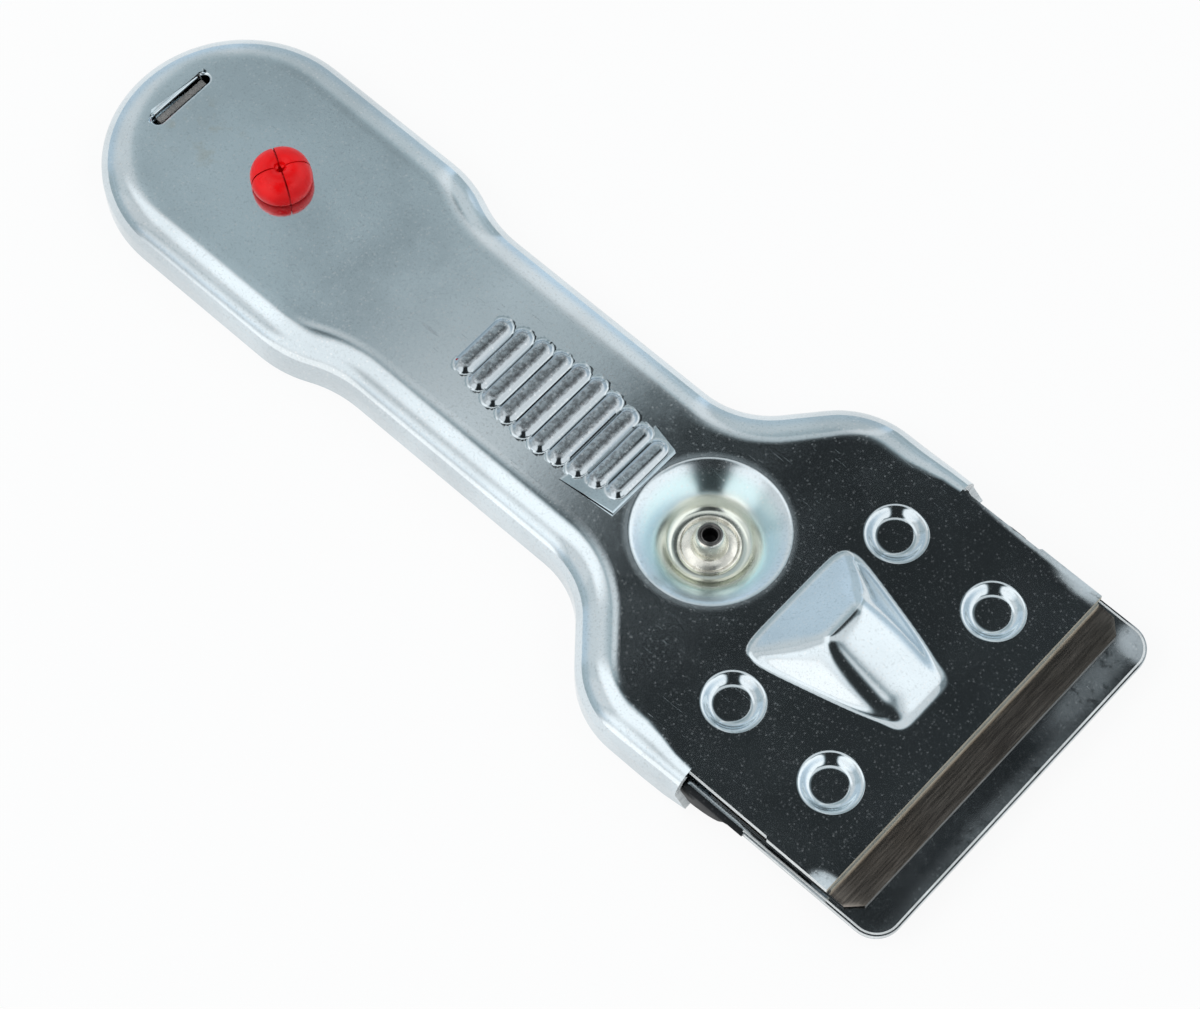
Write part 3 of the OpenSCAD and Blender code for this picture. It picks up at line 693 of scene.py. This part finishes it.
def rivet():
    """Lower head, shank, collar over the cup, and a hollow tip."""
    low = CUP_FLOOR - SHEET - 0.3
    collar = CUP_FLOOR + 0.3
    tip = collar + 2.5
    profile = [(0.0, low - 0.4), (2.9, low - 0.4), (3.15, low - 0.36), (3.3, low - 0.22), (3.3, low - 0.05),
               (3.2, low), (1.5, low), (1.5, collar - 0.18), (1.98, collar - 0.18), (2.05, collar)]
    # the tip narrows over the washer, and its hollow end has a rolled rim
    swell = ((2.03, 0.4), (1.97, 0.85), (1.88, 1.25), (1.78, 1.6), (1.66, 1.95), (1.5, 2.24), (1.33, 2.42))
    hollow = ((1.2, 0.0), (1.1, 0.02), (1.04, 0.1), (1.0, 0.16), (0.92, 0.12), (0.86, 0.14), (0.8, 0.3),
              (0.78, 0.9), (0.72, 1.6), (0.4, 1.8), (0.0, 1.85))
    profile += [(r, collar + z) for r, z in swell] + [(r, tip - z) for r, z in hollow]
    return spun("rivet", CUP_X, profile)


def washer():
    """Washer in the cup, with a raised rim and a groove inside it."""
    section = ((1.6, 0.0), (3.2, 0.0), (3.36, 0.08), (3.38, 0.2), (3.33, 0.31), (3.24, 0.35), (3.14, 0.32),
               (3.08, 0.2), (3.02, 0.14), (2.96, 0.2), (2.85, 0.26), (2.5, 0.38), (2.1, 0.5), (1.9, 0.52),
               (1.6, 0.52), (1.6, 0.0))
    return spun("washer", CUP_X, [(r, CUP_FLOOR + z) for r, z in section])


def spring():
    """Dished spring between the cup's underside and the guard."""
    top = CUP_FLOOR - SHEET
    rim = GUARD_TOP - SHEET - 0.1
    profile = [(1.6, top - 0.3), (4.6, top - 0.3), (5.0, top - 0.2), (9.2, rim - 0.32), (9.3, rim - 0.22),
               (9.3, rim - 0.06), (9.22, rim), (9.0, rim), (4.9, top + 0.08), (4.5, top), (1.6, top),
               (1.6, top - 0.3)]
    return spun("dished_spring", CUP_X, profile)


rivet_ob, washer_ob, spring_ob = rivet(), washer(), spring()
for o, node, name in ((rivet_ob, "centre_rivet", "rivet_steel"), (washer_ob, "cup_washer", "rivet_steel"),
                      (spring_ob, "dish_spring", "spring_steel")):
    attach(o, "body")
    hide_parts(node)


# Plug

def petal(turn):
    """One of the four springy petals of the plug's split head."""
    span, steps, slit, core, swell = math.pi / 2, 14, 0.09, 0.3, 0.12
    profile = ((2.42, -0.75), (2.42, -0.1), (2.6, 0.0), (3.1, 0.02), (3.3, 0.1), (3.44, 0.3), (3.5, 0.75),
               (3.46, 1.25), (3.34, 1.75), (3.12, 2.25), (2.8, 2.65), (2.4, 2.93), (1.9, 3.12), (1.4, 3.2),
               (1.0, 3.16), (0.72, 3.0), (0.58, 2.6))
    cx = at(PLUG_X)
    middle = (cx + core * math.cos(turn + span / 2), core * math.sin(turn + span / 2))
    rows = []
    for k in range(steps + 1):
        row = []
        for r, z in profile:
            # the sides of the petal stay parallel to the slit
            side = math.asin(min(0.95, slit / r))
            a = min(max(turn + span * k / steps, turn + side), turn + span - side)
            out = r - swell + swell * math.sin(math.pi * k / steps) * smooth(0.0, 1.5, z)
            row.append((cx + out * math.cos(a), out * math.sin(a), TOP + z))
        rows.append([(*middle, TOP - 0.75)] + row + [(*middle, TOP + 2.4)])
    bm = bmesh.new()
    sweep(bm, rows)
    bmesh.ops.remove_doubles(bm, verts=bm.verts, dist=1e-7)
    bmesh.ops.holes_fill(bm, edges=[e for e in bm.edges if len(e.link_faces) == 1], sides=0)
    return to_object(bm, "plug_petal", 45)


def plug_head():
    """The four petals as one object, turned to the direction of the photograph."""
    bm = bmesh.new()
    for ob in [petal(math.radians(61.5 + 90 * k)) for k in range(4)]:
        bm.from_mesh(ob.data)
        bpy.data.objects.remove(ob)
    return to_object(bm, "plug_head", 35)


def plug_foot():
    """The plug's foot, its shank and the core inside the petals."""
    profile = [(0.0, 0.3), (3.7, 0.3), (3.9, 0.36), (4.0, 0.5), (4.0, 0.85), (3.9, 0.98), (3.7, 1.0),
               (2.4, 1.0)]
    shank = ((2.4, -0.75), (2.45, 0.0), (3.15, 0.15), (3.25, 0.6), (3.2, 1.3), (2.5, 2.3), (1.4, 2.8),
             (0.9, 2.7), (0.6, 1.9), (0.4, 1.2), (0.0, 1.1))
    return spun("plug", PLUG_X, profile + [(r, TOP + z) for r, z in shank], 72)


head, foot = plug_head(), plug_foot()
for o in (head, foot):
    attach(o, "body")
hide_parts("snap_plug")


# Materials

class Tree:
    """Short forms for building a node tree."""

    def __init__(self, owner, coords):
        owner.use_nodes = True
        self.t = owner.node_tree
        self.t.nodes.clear()
        self.coords = self.node("TexCoord").outputs[coords]

    def link(self, value, socket):
        if isinstance(value, (int, float, tuple)):
            socket.default_value = value
        else:
            self.t.links.new(value, socket)

    def node(self, kind, inputs=None, **settings):
        """A new node. Each input is given a value, or is linked to the output of another node."""
        n = self.t.nodes.new("ShaderNode" + kind)
        for key, value in settings.items():
            setattr(n, key, value)
        for key, value in (inputs or {}).items():
            self.link(value, n.inputs[key])
        return n

    def math(self, op, a, b=0.0):
        return self.node("Math", {0: a, 1: b}, operation=op).outputs[0]

    def times(self, a, b):
        return self.math("MULTIPLY", a, b)

    def plus(self, a, b):
        return self.math("ADD", a, b)

    def minus(self, a, b):
        return self.math("SUBTRACT", a, b)

    def larger(self, a, b):
        return self.math("MAXIMUM", a, b)

    def mapping(self, scale, turn=0.0):
        inputs = {"Vector": self.coords, "Scale": scale, "Rotation": (0.0, 0.0, turn)}
        return self.node("Mapping", inputs).outputs[0]

    def noise(self, scale, detail=4.0, rough=0.5, vector=None):
        inputs = {"Vector": vector or self.coords, "Scale": scale, "Detail": detail, "Roughness": rough}
        return self.node("TexNoise", inputs).outputs["Fac"]

    def cells(self, scale):
        """Distance to the nearest of scattered points, and a chance value of that point."""
        n = self.node("TexVoronoi", {"Vector": self.coords, "Scale": scale})
        lot = self.node("SeparateXYZ", {0: n.outputs["Color"]})
        return n.outputs["Distance"], lot.outputs[0]

    def ramp(self, value, a, b, lo=0.0, hi=1.0):
        inputs = {"Value": value, "From Min": a, "From Max": b, "To Min": lo, "To Max": hi}
        return self.node("MapRange", inputs, interpolation_type="SMOOTHSTEP").outputs["Result"]

    def reach(self, place, a, b, lo=0.0, hi=1.0):
        """A ramp between two places in mm."""
        return self.ramp(place, a * MM, b * MM, lo, hi)

    def mix(self, fac, a, b):
        a, b = ((*c, 1.0) if isinstance(c, tuple) else c for c in (a, b))
        return self.node("Mix", {0: fac, 6: a, 7: b}, data_type="RGBA").outputs[2]

    def bump(self, height, strength, distance=0.03):
        inputs = {"Height": height, "Strength": strength, "Distance": distance * MM}
        return self.node("Bump", inputs).outputs[0]

    def separate(self):
        return self.node("SeparateXYZ", {0: self.coords}).outputs

    def along(self, direction):
        """How far the coordinates point in a direction."""
        n = self.node("VectorMath", {0: self.coords, 1: direction}, operation="DOT_PRODUCT")
        return n.outputs["Value"]

    def spot(self, x, y, rx, ry):
        """1 inside a soft ellipse on the plan, 0 outside, coordinates in mm."""
        sx, sy, _ = self.separate()
        dx = self.math("DIVIDE", self.minus(sx, x * MM), rx * MM)
        dy = self.math("DIVIDE", self.minus(sy, y * MM), ry * MM)
        return self.ramp(self.plus(self.times(dx, dx), self.times(dy, dy)), 0.0, 1.0, 1.0, 0.0)

    def surface(self, inputs):
        bsdf = self.node("BsdfPrincipled", inputs)
        self.node("OutputMaterial", {0: bsdf.outputs[0]})


def new_material(name):
    m = bpy.data.materials.new(name)
    return m, Tree(m, "Object")


def toned(colour, k):
    return tuple(min(1.0, c * k) for c in colour)


def scratches(n, scale, stretch, turn, cut):
    """Thin straight marks: a strongly stretched noise, cut to its highest lines."""
    v = n.mapping((1, stretch, 1), turn)
    return n.ramp(n.noise(scale, 2.0, 0.5, v), cut, cut + 0.03)


def cup_painted_reflections(n, colour, r):
    """Painted reflection colours in the deep drawn cup, laid on by radius: bluish green on its slope,
    yellowish at its foot.
    """
    slope = n.times(n.reach(r, 5.0, 5.8), n.reach(r, 6.6, 8.0, 1.0, 0.0))
    bottom = n.reach(r, 4.6, 6.2, 1.0, 0.0)
    colour = n.mix(n.times(slope, 0.7), colour, (0.60, 0.81, 0.82))
    return n.mix(n.times(bottom, 0.85), colour, (0.84, 0.87, 0.77))


def rib_wear(n, colour):
    """The thumb ribs are scuffed dull by use. Returns the colour, and where the crests are worn most."""
    sx, _, sz = n.separate()
    # height over the sheet, with the tongue's rise taken off
    height = n.minus(sz, n.reach(sx, 6.6, 13.2, 0.0, 0.6 * MM))
    scuff = n.times(n.reach(height, TOP + 0.02, TOP + 0.12), n.spot(at(56.2), 0.0, 20.0, 12.0))
    scuff = n.times(scuff, n.reach(sx, 12.2, 12.6, 1.0, 0.0))
    worn = n.times(scuff, n.reach(height, TOP + 0.34, TOP + 0.46))
    colour = n.mix(n.times(scuff, 0.75), colour, (0.40, 0.44, 0.47))
    patchy = n.times(worn, n.ramp(n.noise(1900.0, 4.0, 0.7), 0.42, 0.6))
    return n.mix(patchy, colour, (0.22, 0.235, 0.25)), worn


def zinc(name, base, rough, grain, speck, pale, body=False):
    """Zinc plated sheet with pits, dust, fine scratches and pale spots (x, y, both reaches, share)."""
    m, n = new_material(name)
    colour = n.mix(n.ramp(n.noise(60.0, 5.0, 0.55), 0.35, 0.65), toned(base, 0.86), toned(base, 1.06))
    pits = n.ramp(n.noise(3600.0, 2.0, 0.6), 0.53, 0.7)
    colour = n.mix(n.times(pits, 0.3), colour, toned(base, 0.6))
    stain = n.times(n.spot(at(107.5), -1.5, 7.0, 5.0), n.ramp(n.noise(420.0, 4.0, 0.6), 0.5, 0.66))
    colour = n.mix(n.times(stain, 0.35), colour, (0.62, 0.55, 0.42))
    if body:
        sx, sy, sz = n.separate()
        dx = n.minus(sx, at(CUP_X) * MM)
        from_cup = n.math("SQRT", n.plus(n.times(dx, dx), n.times(sy, sy)))
        # painted reflection colours in the cup
        colour = cup_painted_reflections(n, colour, from_cup)
        colour, worn = rib_wear(n, colour)
    # dust: small dots of uneven strength
    near_dot, lot = n.cells(2500.0)
    dust = n.plus(n.times(n.ramp(near_dot, 0.14, 0.42, 1.9, 0.0), n.ramp(lot, 0.1, 1.0)), 0.3)
    colour = n.mix(n.times(dust, 0.2 * speck), colour, (0.9, 0.9, 0.9))
    metal = n.minus(1.0, n.times(dust, 0.03 * speck))
    marks = n.larger(scratches(n, 200.0, 30.0, 0.5, 0.735), scratches(n, 240.0, 34.0, -0.9, 0.74))
    dull = n.ramp(n.noise(120.0, 4.0, 0.6), 0.3, 0.7, rough * 0.85, rough * 1.2)
    dull = n.plus(dull, n.times(marks, 0.05))
    dull = n.plus(dull, n.times(dust, 0.03 * speck))
    patchy = n.ramp(n.noise(800.0, 3.0, 0.6), 0.22, 0.48)
    for x, y, rx, ry, share in pale:
        spot = n.times(n.times(n.math("POWER", n.spot(x, y, rx, ry), 2.0), patchy), share)
        dull = n.plus(dull, spot)
        metal = n.minus(metal, spot)
    if body:
        # the worn ribs, the cup and the drawn boss are duller than the flat sheet
        boss = n.times(n.reach(sz, TOP + 0.02, TOP + 0.5), n.reach(sx, 30.8, 31.4))
        dull = n.plus(dull, n.times(worn, 0.2))
        dull = n.plus(dull, n.reach(from_cup, 8.6, 9.4, 0.1, 0.0))
        dull = n.plus(dull, n.times(boss, 0.04))
    height = n.plus(n.times(n.noise(900.0, 3.0, 0.6), 0.5), n.times(n.noise(2900.0, 2.0, 0.6), 0.15))
    height = n.minus(height, n.times(marks, 0.4))
    n.surface({"Base Color": colour, "Metallic": metal, "Roughness": n.math("MINIMUM", dull, 0.8),
               "Normal": n.bump(height, grain)})
    return m


def sheared(name, base):
    """Sheared edge of a sheet: duller, with lines from the shears."""
    m, n = new_material(name)
    lines = n.noise(500.0, 3.0, 0.6, n.mapping((1, 1, 6)))
    colour = n.mix(n.ramp(lines, 0.35, 0.65), toned(base, 0.8), base)
    n.surface({"Base Color": colour, "Metallic": 0.35, "Roughness": 0.5, "Normal": n.bump(lines, 0.5)})
    return m


def ground_steel(name, base, rough):
    """Blade: fine grinding lines along the edge, with a faint warm tarnish."""
    m, n = new_material(name)
    lines = n.noise(900.0, 5.0, 0.7, n.mapping((5.0, 0.25, 1.0)))
    colour = n.mix(n.ramp(lines, 0.3, 0.7), toned(base, 0.86), toned(base, 1.1))
    cloud = n.ramp(n.noise(90.0, 3.0), 0.4, 0.7)
    warm = (base[0] * 1.1, base[1] * 0.95, base[2] * 0.8)
    colour = n.mix(n.times(cloud, 0.3), colour, warm)
    n.surface({"Base Color": colour, "Metallic": 1.0, "Normal": n.bump(lines, 0.05, 0.01),
               "Roughness": n.ramp(lines, 0.2, 0.8, rough * 0.8, rough * 1.25)})
    return m


def plated(name, base, rough):
    """Polished plated steel with a faint cloudiness."""
    m, n = new_material(name)
    cloud = n.noise(700.0, 4.0, 0.6)
    colour = n.mix(n.ramp(cloud, 0.4, 0.7), base, toned(base, 0.72))
    n.surface({"Base Color": colour, "Metallic": 0.85, "Normal": n.bump(n.noise(1500.0, 3.0), 0.25),
               "Roughness": n.ramp(cloud, 0.3, 0.7, rough * 0.8, rough * 1.5)})
    return m


def red_plastic():
    """Glossy plastic that light goes into a little."""
    m, n = new_material("red_plastic")
    colour = n.mix(n.ramp(n.noise(500.0, 3.0), 0.3, 0.7), (0.82, 0.002, 0.004), (0.95, 0.006, 0.008))
    n.surface({"Base Color": colour, "Roughness": n.ramp(n.noise(800.0, 3.0), 0.3, 0.7, 0.26, 0.4),
               "Specular IOR Level": 0.3, "Subsurface Weight": 0.12, "Subsurface Scale": 0.6,
               "Subsurface Radius": (0.002, 0.0006, 0.0004),
               "Normal": n.bump(n.noise(1200.0, 2.0), 0.12, 0.04)})
    return m


bright = zinc("bright_zinc", (0.70, 0.775, 0.815), 0.08, 0.09, 1.0,
              ((53.4, 21.0, 5.0, 1.7, 0.3), (55.8, -21.4, 3.4, 2.0, 0.75), (47.0, 21.3, 11.0, 0.8, 0.35),
               (-16.5, -2.4, 1.8, 0.35, 0.12)), body=True)
inner_mat = zinc("inner_zinc", (0.48, 0.53, 0.56), 0.13, 0.06, 0.5,
                 ((61.8, 20.8, 4.0, 3.0, 0.4), (60.5, 15.0, 2.4, 12.0, 0.1), (62.9, -2.0, 2.6, 30.0, 0.06)))
# near-black zinc that paints shade: the dark gap at the guard's flanges and the blade's sides under the
# plate
painted_shade = zinc("painted_shade_zinc", (0.018, 0.02, 0.022), 0.4, 0.2, 0.05, ())
burr = sheared("sheared_edge", (0.62, 0.57, 0.46))
# pale sheared finish: the own colour of cut plate sides and wall ends, and a painted highlight on the
# guard's lip
cut_edge_and_lip_highlight = sheared("sheared_side_and_lip_highlight", (0.88, 0.90, 0.90))
tab_end = sheared("torn_edge", (0.30, 0.29, 0.28))
steel = ground_steel("blade_steel", (0.50, 0.435, 0.385), 0.17)
spring_mat = plated("spring_steel", (0.35, 0.33, 0.31), 0.35)
rivet_mat = plated("rivet_steel", (0.95, 0.93, 0.85), 0.22)
ringed = plated("ringed_steel", (0.17, 0.165, 0.16), 0.25)
# near-black steel that paints the shade inside the rivet's hollow tip
hole_shade_steel = plated("hole_shade_steel", (0.02, 0.02, 0.02), 0.5)
red = red_plastic()

for ob, mat in ((shell, bright), (cover_ob, bright), (tab, tab_end), (inner, inner_mat),
                # the guard's lip gets the pale sheared finish as a painted highlight
                (guard_ob, inner_mat), (lug, inner_mat), (lip, cut_edge_and_lip_highlight), (blade, steel),
                (rivet_ob, rivet_mat), (washer_ob, rivet_mat), (spring_ob, spring_mat),
                (head, red), (foot, red)):
    ob.data.materials.clear()
    ob.data.materials.append(mat)


def touch_up(ob, mat, picks):
    """A further finish on the faces that a test picks by their x, distance from the middle and normal."""
    ob.data.materials.append(mat)
    for p in ob.data.polygons:
        if picks(p, p.center.x / MM, abs(p.center.y) / MM):
            p.material_index = len(ob.data.materials) - 1


def in_tip(p, x, y, r):
    """Within a radius on the upper part of the rivet."""
    return p.center.z > (TOP - 3.0) * MM and math.hypot(x - at(CUP_X), y) < r


def flange_shade_faces(p, x, y):
    """The guard's flanges between plate and wall, without the sides that face the middle: the faces that get
    painted shade for the dark gap.
    """
    outward = p.normal.y * p.center.y > -0.1 * MM
    return y > 21.0 and at(30.0) < x < at(10.5) and (p.normal.z > 0.3 or outward)


def plate_side(p, x, y):
    """The cut sides of the front plate and the cut front ends of the walls."""
    beside = abs(p.normal.y) > 0.8 and 21.1 < y < 21.6
    wall_end = p.normal.x > 0.4 and y > 21.7
    return x > at(PLATE_L) - 0.1 and (beside or wall_end)


def front_cut(p, x, y):
    """The sheared front edge of a sheet."""
    return x > FRONT_X - 0.12 and p.normal.x > 0.3


touch_up(rivet_ob, ringed, lambda p, x, y: in_tip(p, x, y, 1.36))
# painted shade inside the rivet's hollow tip
touch_up(rivet_ob, hole_shade_steel, lambda p, x, y: in_tip(p, x, y, 0.82))
# painted shade on the blade's sides under the plate
touch_up(blade, painted_shade, lambda p, x, y: abs(p.normal.y) > 0.5 and x < FRONT_X + 2.0)
# painted shade on the guard's flanges in the gap beside the walls
touch_up(guard_ob, painted_shade, flange_shade_faces)
touch_up(shell, cut_edge_and_lip_highlight, plate_side)
touch_up(shell, burr, front_cut)
touch_up(inner, burr, front_cut)


# Floor, light, camera

def floor():
    """White floor that glows for the camera, and less in mirror images, to match the backdrop."""
    bm = bmesh.new()
    bmesh.ops.create_grid(bm, x_segments=1, y_segments=1, size=3.0)
    ob = to_object(bm, "floor")
    m, n = new_material("floor")
    path = n.node("LightPath").outputs
    seen = n.larger(path["Is Camera Ray"], n.times(path["Is Glossy Ray"], 0.75))
    matt = n.node("BsdfDiffuse", {0: (0.93, 0.93, 0.93, 1)}).outputs[0]
    glow = n.node("Emission", {0: (1, 1, 1, 1)}).outputs[0]
    mix = n.node("MixShader", {0: n.times(seen, 0.90), 1: matt, 2: glow})
    n.node("OutputMaterial", {0: mix.outputs[0]})
    ob.data.materials.append(m)
    ob.location.z = -0.02 * MM
    return ob


floor_ob = floor()


def studio():
    """World light: two wide soft boxes with a dark band between them, a light horizon and a grey wall."""
    world = bpy.data.worlds.new("studio")
    bpy.context.scene.world = world
    w = Tree(world, "Generated")
    az = math.radians(VIEW_AZ)
    across = w.along((math.cos(az), math.sin(az), 0.0))
    away = w.along((-math.sin(az), math.cos(az), 0.0))
    front_x = w.along((1.0, 0.0, 0.0))
    side_y = w.along((0.0, 1.0, 0.0))
    high = w.along((0.0, 0.0, 1.0))
    # the two boxes, each with edges of its own on the camera's side and on the far side
    near = w.ramp(away, -0.42, -0.12, 1.0, 0.0)
    left_far = w.times(w.ramp(across, -0.26, -0.09, 1.0, 0.0), w.ramp(across, -0.64, -0.40, 0.55, 1.0))
    left_near = w.ramp(across, -0.40, -0.20, 1.0, 0.0)
    left_box = w.plus(left_far, w.times(near, w.minus(left_near, left_far)))
    right_near = w.times(w.ramp(across, 0.20, 0.40), near)
    right_far = w.plus(w.ramp(across, 0.16, 0.32, 0.0, 0.30), w.ramp(across, 0.42, 0.57, 0.0, 0.70))
    lit = w.larger(left_box, w.larger(right_near, right_far))
    # the horizon, a soft band overhead and a soft light beyond the tool
    lit = w.larger(lit, w.ramp(high, 0.30, 0.50, 0.66, 0.0))
    lit = w.larger(lit, w.times(w.ramp(away, 0.19, 0.27, 0.6, 0.0), w.ramp(away, -0.22, -0.10)))
    lit = w.larger(lit, w.ramp(side_y, 0.42, 0.64, 0.0, 0.55))
    rise = w.larger(w.ramp(high, 0.15, 0.6, 0.72, 1.2), w.ramp(side_y, -0.93, -0.80, 1.3, 0.0))
    level = w.times(rise, w.ramp(lit, 0.0, 1.0, 0.02, 1.0))
    # the grey wall far behind and to the left, which the handle mirrors
    wall = w.times(w.ramp(front_x, -0.316, -0.304, 1.0, 0.0), w.ramp(away, 0.30, 0.42))
    grey = w.plus(w.ramp(across, -0.14, 0.0, 0.52, 0.36), w.ramp(across, -0.40, -0.16, 0.22, 0.0))
    grey = w.plus(grey, w.ramp(front_x, -0.385, -0.345, 0.0, 0.26))
    grey = w.plus(grey, w.times(w.ramp(side_y, 0.305, 0.345, 0.16, 0.0), w.ramp(front_x, -0.385, -0.34)))
    grey = w.plus(grey, w.ramp(side_y, 0.37, 0.62, 0.0, 0.30))
    sky = w.plus(level, w.times(wall, w.minus(grey, level)))
    tint = w.mix(w.ramp(high, 0.2, 0.6), (0.74, 0.88, 1.0), (0.97, 0.99, 1.0))
    tint = w.mix(w.ramp(sky, 0.45, 0.85, 1.0, 0.0), tint, (0.80, 0.945, 1.0))
    tint = w.mix(w.ramp(side_y, -0.93, -0.78, 1.0, 0.0), tint, (1.0, 0.99, 0.98))
    # the camera itself sees plain white
    room = w.node("Background", {0: tint, 1: sky}).outputs[0]
    white = w.node("Background", {0: (1, 1, 1, 1), 1: 1.0}).outputs[0]
    seen = w.node("LightPath").outputs["Is Camera Ray"]
    mix = w.node("MixShader", {0: seen, 1: room, 2: white})
    w.node("OutputWorld", {0: mix.outputs[0]})


def key_lamp():
    """Soft lamp from the front left, which mirrors don't show."""
    place = Vector((-0.55, -0.9, 0.95))
    data = bpy.data.lights.new("key", "AREA")
    data.shape = "RECTANGLE"
    data.size, data.size_y = 1.1, 0.8
    data.energy = 5.0
    ob = bpy.data.objects.new("key", data)
    bpy.context.scene.collection.objects.link(ob)
    ob.location = place
    ob.rotation_euler = (-place).to_track_quat("-Z", "Y").to_euler()
    ob.visible_glossy = False


def camera():
    data = bpy.data.cameras.new("camera")
    data.sensor_width = SENSOR
    data.sensor_fit = "HORIZONTAL"
    data.lens = FOCAL_PX / PICTURE_W * SENSOR
    data.clip_start = 0.01
    ob = bpy.data.objects.new("camera", data)
    bpy.context.scene.collection.objects.link(ob)
    az, el = math.radians(VIEW_AZ), math.radians(VIEW_EL)
    back = Vector((math.sin(az) * math.cos(el), -math.cos(az) * math.cos(el), math.sin(el)))
    right = Vector((math.cos(az), math.sin(az), 0.0))
    turned = Matrix((right, back.cross(right), back)).transposed().to_4x4()
    ob.matrix_world = Matrix.Translation(Vector(CAMERA_PLACE) * MM) @ turned
    bpy.context.scene.camera = ob


studio()
key_lamp()
camera()
bpy.context.scene.view_settings.view_transform = "Standard"
